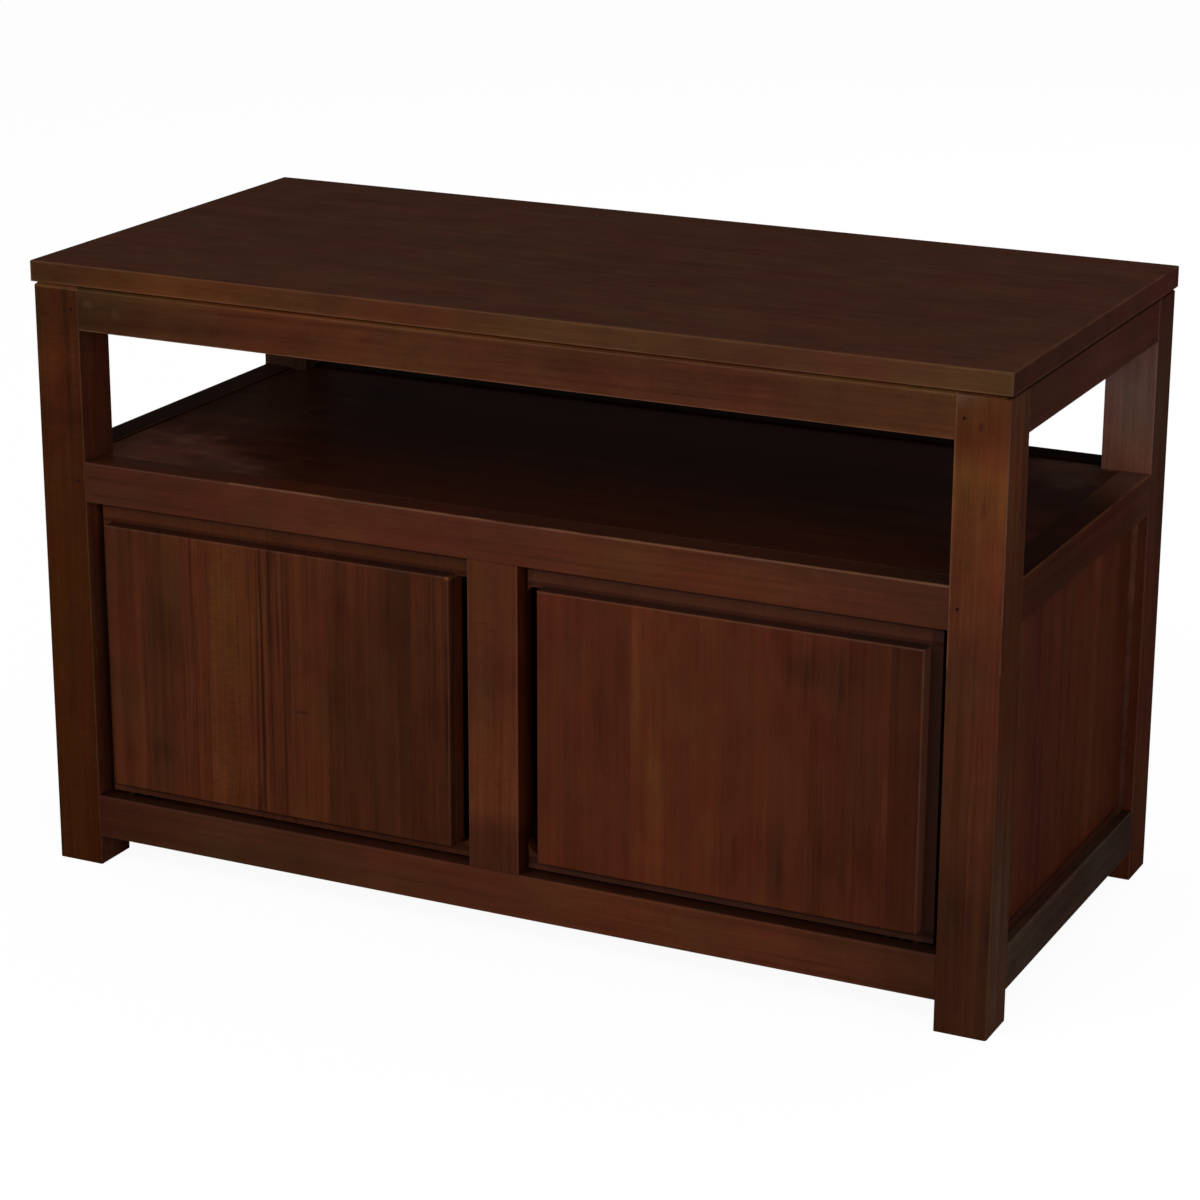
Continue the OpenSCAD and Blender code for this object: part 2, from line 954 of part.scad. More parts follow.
door_screws(-1);  // door_screws_left
color(door_wood_right) on_half(1) door_panel();  // door_panel_right
on_half(1) door_leaf();  // door_leaf_right_top
on_half(1) at_level("bottom") door_leaf();  // door_leaf_right_bottom
on_half(1) door_strike();  // door_strike_right
door_screws(1);  // door_screws_right
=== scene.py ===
# %% [markdown]
# A low television stand in dark stained hardwood: four square legs, twelve
# rails, a solid top, an open shelf bay and a cupboard behind two inset doors.
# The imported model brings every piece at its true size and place. This lesson
# dresses it: the wooden pieces that show get soft arrises and a stained grain
# that runs the way each piece was cut, and the hidden hardware gets its metal.
# Everything is in metres, with the front towards -Y and the floor at Z 0.

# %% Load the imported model
import json
import math

import bpy
from mathutils import Matrix, Vector


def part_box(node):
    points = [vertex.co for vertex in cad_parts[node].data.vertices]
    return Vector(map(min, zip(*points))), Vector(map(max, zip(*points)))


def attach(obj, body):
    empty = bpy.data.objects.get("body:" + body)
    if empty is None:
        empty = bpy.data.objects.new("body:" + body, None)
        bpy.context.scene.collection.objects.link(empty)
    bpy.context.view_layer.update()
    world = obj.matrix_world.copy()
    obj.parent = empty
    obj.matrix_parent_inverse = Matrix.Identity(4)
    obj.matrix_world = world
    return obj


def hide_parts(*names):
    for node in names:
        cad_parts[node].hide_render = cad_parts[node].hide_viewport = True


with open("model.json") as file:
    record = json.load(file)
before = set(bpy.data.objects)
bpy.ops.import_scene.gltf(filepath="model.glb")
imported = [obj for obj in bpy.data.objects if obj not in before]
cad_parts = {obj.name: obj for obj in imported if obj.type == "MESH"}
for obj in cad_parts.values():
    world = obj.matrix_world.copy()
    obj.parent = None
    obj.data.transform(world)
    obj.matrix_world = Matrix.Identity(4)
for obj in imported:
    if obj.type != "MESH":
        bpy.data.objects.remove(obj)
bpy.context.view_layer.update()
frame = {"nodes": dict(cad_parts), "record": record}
MM = 0.001

# %% [markdown]
# The camera stands where the photographer stood, to the right of the stand
# and a little above it. The place and the long lens were worked out from the
# corners of the frame, so the render lines up with the picture. A camera
# looks along its own -Z, so its three axes are written down directly.

# %% Camera
AZIMUTH = math.radians(25.876)
ELEVATION = math.radians(17.847)
ROLL = math.radians(0.189)
STANDPOINT = (1.34656, -2.78172, 1.25956)
LENS = 102.84
SENSOR = 36

away = Vector((math.sin(AZIMUTH) * math.cos(ELEVATION),
               -math.cos(AZIMUTH) * math.cos(ELEVATION),
               math.sin(ELEVATION)))
level = Vector((math.cos(AZIMUTH), math.sin(AZIMUTH), 0))
upright = away.cross(level)
side_axis = math.cos(ROLL) * level + math.sin(ROLL) * upright
up_axis = math.cos(ROLL) * upright - math.sin(ROLL) * level

bpy.ops.object.camera_add()
camera = bpy.context.object
camera.name = "photographer"
camera.data.lens = LENS
camera.data.sensor_width = SENSOR
turned = Matrix((side_axis, up_axis, away)).transposed().to_4x4()
camera.matrix_world = Matrix.Translation(STANDPOINT) @ turned
bpy.context.scene.camera = camera
bpy.context.scene.view_settings.view_transform = "Standard"
print("camera", [round(v, 2) for v in STANDPOINT], "lens", LENS, "on", SENSOR)

# %% [markdown]
# Node trees are long when every node is added by hand, so small helpers add a
# node, set its options and fill its sockets. A socket is given a number, a
# colour or the output of a node that is already there.

# %% Helpers for node trees
def fill(tree, node, sockets):
    """Gives a node's sockets their values or their links."""
    for socket, value in sockets.items():
        if isinstance(value, bpy.types.NodeSocket):
            tree.links.new(value, node.inputs[socket])
        else:
            node.inputs[socket].default_value = value


def put(tree, kind, sockets=None, **options):
    """Adds a node and returns its first output."""
    node = tree.nodes.new("ShaderNode" + kind)
    for option, value in options.items():
        setattr(node, option, value)
    fill(tree, node, sockets or {})
    return node.outputs[0] if node.outputs else node


def maths(tree, operation, *values):
    """A Math node on one, two or three values."""
    return put(tree, "Math", dict(enumerate(values)), operation=operation)


def spread(tree, value, low, high, first=0.0, last=1.0, **options):
    """Maps a value between low and high to one between first and last."""
    return put(tree, "MapRange", {"Value": value, 1: low, 2: high, 3: first, 4: last}, **options)


def parts(tree, kind, value):
    """The outputs of a node that takes a vector or a colour apart."""
    node = tree.nodes.new("ShaderNodeSeparate" + kind)
    tree.links.new(value, node.inputs[0])
    return node.outputs


def new_material(name):
    """A material with an empty node tree, and the tree."""
    material = bpy.data.materials.new(name)
    material.use_nodes = True
    material.node_tree.nodes.clear()
    return material, material.node_tree


def colour(red, green, blue):
    """A colour picked on a screen, 0 to 255, as the linear light Blender uses."""
    linear = [((c / 255 + 0.055) / 1.055) ** 2.4 if c > 10 else c / 255 / 12.92
              for c in (red, green, blue)]
    return (*linear, 1.0)


def grey(level):
    """A neutral colour, in linear light."""
    return (level, level, level, 1.0)


print("grey card:", [round(c, 3) for c in colour(128, 128, 128)])

# %% [markdown]
# The studio is plain: a pale floor, an even world and soft lamps. The world
# looks white to the camera and lights the wood with a quiet grey. Varnish
# shows what stands around it, and this room is dim, so reflected rays find a
# darker air and a darker floor. The floor is half painted with light to look
# white, and the rest of it still takes the stand's shadow. It is clear from
# beneath, so that the underside of the stand can be looked at.

# %% Air and floor
AIR_SEEN, AIR_LIGHT, AIR_REFLECTED = 1.0, 0.45, 0.03
FLOOR_PALE, FLOOR_REFLECTED = 0.85, 0.03
FLOOR_WHITE, WHITE_SHARE = 1.04, 0.90

world = bpy.data.worlds.new("studio_air")
bpy.context.scene.world = world
world.use_nodes = True
air = world.node_tree
air.nodes.clear()
rays = air.nodes.new("ShaderNodeLightPath").outputs
dim = put(air, "Mix", {0: rays["Is Glossy Ray"], 2: AIR_LIGHT, 3: AIR_REFLECTED})
strength = put(air, "Mix", {0: rays["Is Camera Ray"], 2: dim, 3: AIR_SEEN})
backdrop = put(air, "Background", {"Color": grey(1), "Strength": strength})
put(air, "OutputWorld", {"Surface": backdrop})

floor_material, paint = new_material("pale_floor")
rays = paint.nodes.new("ShaderNodeLightPath").outputs
pale = put(paint, "MixRGB", {0: rays["Is Glossy Ray"], 1: grey(FLOOR_PALE),
                             2: grey(FLOOR_REFLECTED)})
matt = put(paint, "BsdfDiffuse", {"Color": pale})
white = put(paint, "Emission", {"Color": grey(1), "Strength": FLOOR_WHITE})
share = maths(paint, "MULTIPLY", rays["Is Camera Ray"], WHITE_SHARE)
solid = put(paint, "MixShader", {0: share, 1: matt, 2: white})
under = paint.nodes.new("ShaderNodeNewGeometry").outputs["Backfacing"]
clear = paint.nodes.new("ShaderNodeBsdfTransparent").outputs[0]
seen = put(paint, "MixShader", {0: under, 1: solid, 2: clear})
put(paint, "OutputMaterial", {"Surface": seen})

bpy.ops.object.select_all(action="DESELECT")
bpy.ops.mesh.primitive_plane_add(size=40, location=(0, 0, 0))
floor = bpy.context.object
floor.name = "studio_floor"
floor.data.materials.append(floor_material)
print("floor:", floor.dimensions.x, "m square")

# %% [markdown]
# Three soft lamps light the stand. The strongest stands in front and to the
# left, so the fronts are the brightest faces. A weaker one on the right opens
# up the side, and the weakest one fills in the back, which the photograph
# doesn't show. That one makes no highlights, because a lamp behind the stand
# would lay a white veil on the varnish of the top.

# %% Lamps
def soft_lamp(name, place, target, size, power):
    """A square area lamp that faces a point on the stand."""
    bpy.ops.object.light_add(type="AREA", location=place)
    lamp = bpy.context.object
    lamp.name = name
    lamp.data.size = size
    lamp.data.energy = power
    facing = Vector(target) - Vector(place)
    lamp.rotation_euler = facing.to_track_quat("-Z", "Y").to_euler()
    print(name, power, "W")
    return lamp


soft_lamp("front_lamp", (-1.4, -3.8, 2.6), (0, 0, 0.3), 3.0, 92)
soft_lamp("side_lamp", (2.9, -2.9, 1.9), (0.1, 0, 0.3), 2.4, 60)
back_lamp = soft_lamp("back_lamp", (0.6, 3.4, 2.6), (0, 0.1, 0.3), 2.4, 40)
back_lamp.visible_glossy = False

# %% [markdown]
# Stained hardwood is one recipe with different amounts. Across the grain the
# colour changes in broad bands, in narrow streaks and in a few thin dark
# lines, and along it hardly at all, so each noise has few features per metre
# along the grain and many across it. A faint ripple crosses the grain where
# the wood is figured, slow blotches turn the stain olive, a hue wanders
# between red and gold, and fine pores darken the wood in short dashes and give
# the varnish its bump. The recipe is a node group, so every piece shares it
# and only sets the amounts.

# %% The grain recipe
def new_group(name, inputs, outputs):
    """An empty node group with its sockets, and what comes in through them."""
    group = bpy.data.node_groups.new(name, "ShaderNodeTree")
    for socket, kind, value in inputs:
        made = group.interface.new_socket(socket, in_out="INPUT", socket_type="NodeSocket" + kind)
        if value is not None:
            made.default_value = value
    for socket, kind in outputs:
        group.interface.new_socket(socket, in_out="OUTPUT", socket_type="NodeSocket" + kind)
    return group, group.nodes.new("NodeGroupInput").outputs


def hand_out(group, **results):
    """Links a group's results to its outputs."""
    fill(group, group.nodes.new("NodeGroupOutput"), results)
    print(group.name, len(group.nodes), "nodes")


def use(tree, group, sockets):
    """Puts a group into a tree with its sockets filled, and returns its node."""
    node = tree.nodes.new("ShaderNodeGroup")
    node.node_tree = group
    fill(tree, node, sockets)
    return node


def streaky(tree, stock, along, across, detail=2, roughness=0.5, shift=0.0):
    """A noise with so many features per metre along the grain, which is x, and across it."""
    place = put(tree, "Mapping", {"Vector": stock, "Scale": (along, across, across),
                                  "Location": (shift, shift * 0.7, shift * 1.3)})
    return put(tree, "TexNoise", {"Vector": place, "Scale": 1, "Detail": detail,
                                  "Roughness": roughness})


def swing(tree, value, amount, onto):
    """Adds a noise, swung about its middle and scaled, to a tone."""
    return maths(tree, "MULTIPLY_ADD", maths(tree, "SUBTRACT", value, 0.5), amount, onto)


grain, given = new_group(
    "stained_grain",
    [("Stock", "Vector", None), ("Dark", "Color", (0.02, 0.01, 0.005, 1)),
     ("Middle", "Color", (0.06, 0.02, 0.01, 1)), ("Light", "Color", (0.1, 0.04, 0.015, 1)),
     ("Olive", "Color", (0.05, 0.03, 0.01, 1)), ("Bands", "Float", 0.5), ("Streaks", "Float", 0.5),
     ("Lines", "Float", 0.2), ("Ripple", "Float", 0.1), ("Blotches", "Float", 0.4),
     ("Gloss", "Float", 0.35)],
    [("Colour", "Color"), ("Roughness", "Float"), ("Height", "Float")])
stock = given["Stock"]

wander = streaky(grain, stock, 2.2, 4, shift=3.1)
sway = put(grain, "CombineXYZ", {1: maths(grain, "MULTIPLY_ADD", wander, 0.014, -0.007),
                                 2: maths(grain, "MULTIPLY_ADD", wander, -0.010, 0.005)})
swayed = put(grain, "VectorMath", {0: stock, 1: sway}, operation="ADD")

bands = streaky(grain, swayed, 1.3, 34, 3, 0.55)
streaks = streaky(grain, swayed, 3.2, 170, 4, 0.62, 7.7)
thin = streaky(grain, swayed, 2.4, 260, shift=12.3)
lines = spread(grain, thin, 0.52, 0.74)
pores = streaky(grain, swayed, 34, 900, shift=1.9)
ripple = streaky(grain, stock, 330, 100, 2, 0.6, 2.7)
mottle = streaky(grain, stock, 22, 30, 3, 0.55, 5.2)
slow = streaky(grain, stock, 5.0, 11, shift=9.4)
hue = streaky(grain, stock, 14, 26, shift=6.6)

tone = 0.5
for noise, amount in ((bands, given["Bands"]), (streaks, given["Streaks"]),
                      (ripple, given["Ripple"]), (mottle, 0.34), (pores, 0.30)):
    tone = swing(grain, noise, amount, tone)
tone = maths(grain, "SUBTRACT", tone, maths(grain, "MULTIPLY", lines, given["Lines"]))

low_half = spread(grain, tone, 0.15, 0.5)
high_half = spread(grain, tone, 0.5, 0.85)
ground = put(grain, "MixRGB", {0: low_half, 1: given["Dark"], 2: given["Middle"]})
ground = put(grain, "MixRGB", {0: high_half, 1: ground, 2: given["Light"]})
patch = spread(grain, slow, 0.42, 0.68, interpolation_type="SMOOTHSTEP")
ground = put(grain, "MixRGB", {0: maths(grain, "MULTIPLY", patch, given["Blotches"]),
                               1: ground, 2: given["Olive"]})
warmth = put(grain, "CombineXYZ", {0: swing(grain, hue, -0.15, 1.0), 1: swing(grain, hue, 0.6, 1.0),
                                   2: swing(grain, hue, 0.4, 1.0)})
ground = put(grain, "VectorMath", {0: ground, 1: warmth}, operation="MULTIPLY")

rough = swing(grain, mottle, 0.10, given["Gloss"])
rough = swing(grain, pores, -0.12, rough)
height = maths(grain, "MULTIPLY_ADD", streaks, 0.35, pores)
height = maths(grain, "MULTIPLY_ADD", lines, -0.4, height)

hand_out(grain, Colour=ground, Roughness=rough, Height=height)

# %% [markdown]
# Arrises wear first: the stain rubs thin where hands and cloths pass, and the
# pale wood shows through in a thin broken line. A piece's own corners are
# known, so the distance from a point to the nearest edge of its box is worked
# out in the nodes. Of the three distances to the faces the smallest is the
# face itself, and the second smallest is the way to the nearest edge.

# %% The wear recipe
wear, given = new_group(
    "worn_arris",
    [("Place", "Vector", None), ("Low", "Vector", None), ("High", "Vector", None),
     ("Reach", "Float", 0.004)],
    [("Wear", "Float")])
place = given["Place"]
from_low = put(wear, "VectorMath", {0: place, 1: given["Low"]}, operation="SUBTRACT")
from_high = put(wear, "VectorMath", {0: given["High"], 1: place}, operation="SUBTRACT")
nearest = put(wear, "VectorMath", {0: from_low, 1: from_high}, operation="MINIMUM")
dx, dy, dz = parts(wear, "XYZ", nearest)
second = maths(wear, "MAXIMUM", maths(wear, "MINIMUM", dx, dy),
               maths(wear, "MINIMUM", maths(wear, "MAXIMUM", dx, dy), dz))
rubbed = put(wear, "TexNoise", {"Vector": place, "Scale": 26, "Detail": 4})
broken = maths(wear, "MULTIPLY_ADD", rubbed, 2.4, -0.2)
reach = maths(wear, "MULTIPLY", given["Reach"], broken)
amount = spread(wear, second, 0.0, reach, 1.0, 0.0, interpolation_type="SMOOTHSTEP")
hand_out(wear, Wear=amount)

# %% [markdown]
# Knots, rubs and darker clouds sit at one place on a board. A mark is a soft
# ellipsoid about that place, broken up by a noise so that its rim is ragged.

# %% The mark recipe
mark, given = new_group(
    "local_mark",
    [("Place", "Vector", None), ("Centre", "Vector", None), ("Size", "Vector", (1, 1, 1))],
    [("Amount", "Float")])
offset = put(mark, "VectorMath", {0: given["Place"], 1: given["Centre"]},
             operation="SUBTRACT")
offset = put(mark, "VectorMath", {0: offset, 1: given["Size"]}, operation="DIVIDE")
rim = put(mark, "Mapping", {"Vector": offset, "Scale": (3.2, 3.2, 1.2)})
ragged = put(mark, "TexNoise", {"Vector": rim, "Scale": 1, "Detail": 3})
far = mark.nodes.new("ShaderNodeVectorMath")
far.operation = "LENGTH"
mark.links.new(offset, far.inputs[0])
amount = spread(mark, swing(mark, ragged, 1.2, far.outputs["Value"]), 0.15, 1.0, 1.0, 0.0,
                interpolation_type="SMOOTHSTEP")
hand_out(mark, Amount=amount)

# %% [markdown]
# A stain has four shades: nearly black in the pores, the plain one on most of
# the wood, a pale one on open grain and an olive one in blotches. They keep
# the same distance from each other on every piece, so a piece only names its
# plain shade, as a colour picked from the wood.

# %% Shades of a stain
ORDER = {"x": (0, 1, 2), "y": (1, 2, 0), "z": (2, 0, 1)}
BARE = colour(118, 80, 52)


def stain(red, green, blue):
    """The four shades of one stain: in the pores, plain, on pale grain and olive."""
    middle = colour(red, green, blue)
    return [tuple(m * f for m, f in zip(middle, factors)) + (1.0,)
            for factors in ((0.42, 0.36, 0.34), (1, 1, 1), (1.60, 1.66, 1.60), (0.70, 0.94, 0.72))]


print("bare wood:", [round(c, 3) for c in BARE])

# %% [markdown]
# Colour is never even here, and each kind of unevenness has its own tool. A
# tone is a ramp along one axis, for a stick that gets darker towards its foot
# or for painted light and shade that changes across a face. It is a list of
# places with a factor for each, or three factors for red, green and blue.
# Painted shading multiplies a box by three factors: painted shade in inner
# corners, recesses and grooves, and painted light and highlights where light
# reaches in. A box is a list of conditions: an axis, where it starts and
# where it ends, or None for no end.

# %% Ramps and boxes
SOFT_EDGE = 1.0 * MM


def ramp(tree, line, low, high, stops, stepped=False):
    """A ramp between two places on an axis; a stop is a place and one factor or three."""
    node = tree.nodes.new("ShaderNodeValToRGB")
    node.color_ramp.interpolation = "CONSTANT" if stepped else "LINEAR"
    elements = node.color_ramp.elements
    elements.remove(elements[1])
    for number, (spot, *factors) in enumerate(stops):
        share = min(max((spot - low) / (high - low), 0.0), 1.0)
        element = elements[0] if number == 0 else elements.new(share)
        element.position = share
        element.color = (*(factors if len(factors) == 3 else factors * 3), 1.0)
    tree.links.new(spread(tree, line, low, high), node.inputs[0])
    return node.outputs[0]


def within(tree, axes, conditions):
    """1 inside the given limits and 0 outside."""
    mask = 1.0
    for letter, low, high in conditions:
        for edge, outside, inside in ((low, 0.0, 1.0), (high, 1.0, 0.0)):
            if edge is not None:
                step = spread(tree, axes["xyz".index(letter)], edge - SOFT_EDGE / 2,
                              edge + SOFT_EDGE / 2, outside, inside)
                mask = maths(tree, "MULTIPLY", mask, step)
    return mask


def tinted(tree, shade, factors, amount):
    """The shade multiplied by three factors, where the amount is 1."""
    return put(tree, "MixRGB", {0: amount, 1: shade, 2: factors}, blend_type="MULTIPLY")


def uneven(tree, place, axes, shade, middle, calm, tones, painted_shading, marks):
    """The shade after it is calmed towards the plain one, toned, given its painted light and shade,
    and marked.
    """
    for conditions, amount in calm:
        cover = maths(tree, "MULTIPLY", within(tree, axes, conditions), amount)
        shade = put(tree, "MixRGB", {0: cover, 1: shade, 2: middle})
    for letter, stops, conditions in tones:
        factors = ramp(tree, axes["xyz".index(letter)], stops[0][0], stops[-1][0], stops)
        shade = tinted(tree, shade, factors, within(tree, axes, conditions))
    for conditions, factors in painted_shading:
        shade = tinted(tree, shade, (*factors, 1.0), within(tree, axes, conditions))
    for centre, size, factors in marks:
        spot = use(tree, mark, {"Place": place, "Centre": centre, "Size": size})
        shade = tinted(tree, shade, (*factors, 1.0), spot.outputs["Amount"])
    return shade


# %% [markdown]
# A wide board is glued up from staves, and each one is a different cut that
# took the stain in its own way. A stave is a place where it starts, its shade,
# and its amounts of dark lines and ripple. Where arrises have worn, bare wood
# is mixed in and the varnish is duller.

# %% Staves and worn arrises
def glued(tree, axes, stock, figure, staves):
    """Gives each stave its own cut, lines, ripple and shade; returns the stock and the shade."""
    letter, low, high, edges = staves
    line = axes["xyz".index(letter)]
    count = 0.0
    for edge in edges[1:]:
        count = maths(tree, "ADD", count, maths(tree, "GREATER_THAN", line, edge[0]))
    shift = put(tree, "CombineXYZ", {0: maths(tree, "MULTIPLY", count, 1.31),
                                     1: maths(tree, "MULTIPLY", count, 0.27)})
    stock = put(tree, "VectorMath", {0: stock, 1: shift}, operation="ADD")
    chosen = ramp(tree, line, low, high, edges, stepped=True)
    factor, lines, ripple = parts(tree, "Color", chosen)
    fill(tree, figure, {"Lines": lines, "Ripple": ripple})
    shade = put(tree, "VectorMath", {0: figure.outputs["Colour"], "Scale": factor},
                operation="SCALE")
    return stock, shade


def rubbed_bare(tree, place, axes, shade, worn):
    """Bare wood along a piece's arrises; returns the shade and where the wood is bare."""
    low, high, amount, reach, conditions = worn
    rub = use(tree, wear, {"Place": place, "Low": low, "High": high, "Reach": reach})
    bare = maths(tree, "MULTIPLY", rub.outputs["Wear"], within(tree, axes, conditions))
    cover = maths(tree, "MULTIPLY", bare, amount)
    return put(tree, "MixRGB", {0: cover, 1: shade, 2: BARE}), bare


# %% [markdown]
# Each piece gets its own wood from those recipes. The grain's direction picks
# which coordinate runs along the stock, and the cut's number shifts the noises
# so that no two pieces are sawn from the same place in the tree. The varnish is
# a thin gloss with the pores in its bump.

# %% Wood for one piece
def stained_wood(name, runs, cut, base, bands=0.5, streaks=0.5, lines=0.12, ripple=0.15,
                 blotches=0.4, gloss=0.36, specular=0.20, staves=None, calm=(), tones=(),
                 painted_shading=(), marks=(), worn=None):
    """A stained and varnished wood; runs is the grain's axis, cut a number of its own."""
    material, tree = new_material(name)
    place = tree.nodes.new("ShaderNodeTexCoord").outputs["Object"]
    axes = parts(tree, "XYZ", place)
    stock = put(tree, "CombineXYZ", {i: axes[axis] for i, axis in enumerate(ORDER[runs])})
    sawn = (cut * 1.37 % 11, cut * 2.11 % 7, cut * 0.83 % 5)
    stock = put(tree, "VectorMath", {0: stock, 1: sawn}, operation="ADD")

    dark, middle, light, olive = stain(*base)
    figure = use(tree, grain, {
        "Dark": dark, "Middle": middle, "Light": light, "Olive": olive, "Bands": bands,
        "Streaks": streaks, "Lines": lines, "Ripple": ripple, "Blotches": blotches, "Gloss": gloss})
    shade, rough = figure.outputs["Colour"], figure.outputs["Roughness"]
    if staves:
        stock, shade = glued(tree, axes, stock, figure, staves)
    tree.links.new(stock, figure.inputs["Stock"])
    shade = uneven(tree, place, axes, shade, middle, calm, tones, painted_shading, marks)
    if worn:
        shade, bare = rubbed_bare(tree, place, axes, shade, worn)
        rough = maths(tree, "MULTIPLY_ADD", bare, 0.4, rough)

    bump = put(tree, "Bump", {"Strength": 0.25, "Distance": 0.4 * MM,
                              "Height": figure.outputs["Height"]})
    varnish = put(tree, "BsdfPrincipled", {"IOR": 1.45, "Specular IOR Level": specular,
                                           "Base Color": shade, "Roughness": rough, "Normal": bump})
    put(tree, "OutputMaterial", {"Surface": varnish})
    return material


# %% [markdown]
# Every piece that is modelled here stands for a imported node. It takes the
# node's body, so that it moves with it, and the body comes from the imported
# record.

# %% Bodies
BODY = {node: body for body, nodes in frame["record"]["behaviour"]["bodies"].items()
        for node in nodes}

# %% [markdown]
# Legs and rails keep their joinery: the mortises, grooves and pin holes are
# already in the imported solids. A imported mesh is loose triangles, so a copy is
# merged and its flat faces are joined again. Then the long edges are picked
# by their direction and rounded, the way a plane and a scraper break an arris
# along the grain. Sharp edges give no highlight, so this is what makes the
# frame read as wood.

# %% Helpers for pieces
SAME_PLACE = 0.000002
SHARP = math.radians(25)
STRAIGHT = 0.999
SMOOTH = math.radians(40)


def pick_only(piece):
    """Makes one object the active and only selected one."""
    bpy.ops.object.select_all(action="DESELECT")
    piece.select_set(True)
    bpy.context.view_layer.objects.active = piece


def pick_edges(piece, wanted):
    """Goes into edit mode with just the wanted edges selected."""
    pick_only(piece)
    bpy.ops.object.mode_set(mode="EDIT")
    bpy.ops.mesh.select_mode(type="EDGE")
    bpy.ops.mesh.select_all(action="DESELECT")
    bpy.ops.object.mode_set(mode="OBJECT")
    for index in wanted:
        piece.data.edges[index].select = True
    bpy.ops.object.mode_set(mode="EDIT")


def merged_copy(node, name):
    """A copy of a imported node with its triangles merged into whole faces."""
    piece = bpy.data.objects.new(name, frame["nodes"][node].data.copy())
    bpy.context.scene.collection.objects.link(piece)
    pick_only(piece)
    bpy.ops.object.mode_set(mode="EDIT")
    bpy.ops.mesh.select_all(action="SELECT")
    bpy.ops.mesh.customdata_custom_splitnormals_clear()
    bpy.ops.mesh.remove_doubles(threshold=SAME_PLACE)
    bpy.ops.mesh.dissolve_limited(angle_limit=math.radians(0.5))
    bpy.ops.object.mode_set(mode="OBJECT")
    return piece


def long_edges(piece, axis, least):
    """Sharp edges that run along an axis and are at least that long."""
    mesh = piece.data
    faces = {}
    for face in mesh.polygons:
        for key in face.edge_keys:
            faces.setdefault(key, []).append(face.normal)
    wanted = []
    for edge in mesh.edges:
        a, b = (mesh.vertices[v].co for v in edge.vertices)
        run = b - a
        length = abs(run[axis])
        normals = faces.get(edge.key, [])
        if (length > least and length > STRAIGHT * run.length and len(normals) == 2
                and normals[0].angle(normals[1]) > SHARP):
            wanted.append(edge.index)
    return wanted


def round_over(piece, wanted, width, segments=3):
    """Bevels the wanted edges to a round."""
    pick_edges(piece, wanted)
    bpy.ops.mesh.bevel(offset=width, offset_type="OFFSET", segments=segments, profile=0.5,
                       affect="EDGES", clamp_overlap=True)
    bpy.ops.object.mode_set(mode="OBJECT")


def finish_piece(piece, nodes, material):
    """Smooths a piece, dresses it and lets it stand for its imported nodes."""
    pick_only(piece)
    bpy.ops.object.shade_smooth_by_angle(angle=SMOOTH)
    weighted = piece.modifiers.new("even_shading", "WEIGHTED_NORMAL")
    weighted.keep_sharp = True
    bpy.ops.object.modifier_apply(modifier=weighted.name)
    piece.data.materials.clear()
    piece.data.materials.append(material)
    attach(piece, BODY[nodes[0]])
    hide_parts(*nodes)


def worn_edges(node, open_axes, amount, reach=2.0 * MM, conditions=()):
    """Wear along a node's edges; the box is moved out along axes whose ends meet other wood."""
    low, high = (Vector(corner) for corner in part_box(node))
    for axis in open_axes:
        low["xyz".index(axis)] -= 1
        high["xyz".index(axis)] += 1
    return low, high, amount, reach, conditions


# %% [markdown]
# Legs, rails and the stile are sticks, and all are dressed in the same way. Only
# their long edges are rounded, so that the mortises and the tenons stay crisp.
# The arrises have worn, but not the ends, which meet other wood.

# %% Dressing a stick
ARRIS = 0.7 * MM
LEG_EDGE = 40 * MM
RAIL_EDGE = 60 * MM


def dress_stick(node, cut, runs, least, wear, worn_at=(), **look):
    """Rounds the edges of a stick that are longer than the least and gives it its wood."""
    stick = merged_copy(node, node + "_wood")
    round_over(stick, long_edges(stick, "xyz".index(runs), least), ARRIS)
    worn = worn_edges(node, runs, wear, conditions=worn_at)
    finish_piece(stick, [node], stained_wood(node + "_stain", runs, cut, worn=worn, **look))
    print(node, "grain along", runs, "with", len(stick.data.polygons), "faces")


# %% [markdown]
# The four legs are the same stick turned four ways, and their grain stands up.
# The left front leg is olive on its front face, the right front leg is darker
# at the foot and lighter at the top, and the right rear leg has a paler head.
# Painted light and shade are added too: a painted shadow in the groove under
# the top at the right side, painted light on faces that look into the cupboard
# and the bay, and a darker stain on the left rear leg as painted shade of the
# bay. Heights are in metres and the factors lighten or darken. A mark on a
# face has its place and its reach along the face, two numbers each, and three
# factors.

# %% Legs
FRONT = -225 * MM
MARK_DEPTH = 50 * MM
FRONT_FACE = [("y", None, FRONT + 0.9 * MM)]
RIGHT_FACE = [("x", 474.1 * MM, None)]
# A painted shadow darkens the chamfer at the right end, where the groove under the top is in shade.
PAINTED_GROOVE_SHADOW = ([("z", 0.5664, None), ("x", 0.4695, None)], (0.42, 0.38, 0.36))
REAR_LEG_FACE = ("y", None, 0.1785)


def marks_on(letter, at, rows):
    """Marks on a face that lies across an axis, at a place on it."""
    made = []
    for first, second, wide, high, *factors in rows:
        centre, size = [first, second], [wide, high]
        centre.insert("xyz".index(letter), at)
        size.insert("xyz".index(letter), MARK_DEPTH)
        made.append((centre, size, factors))
    return made


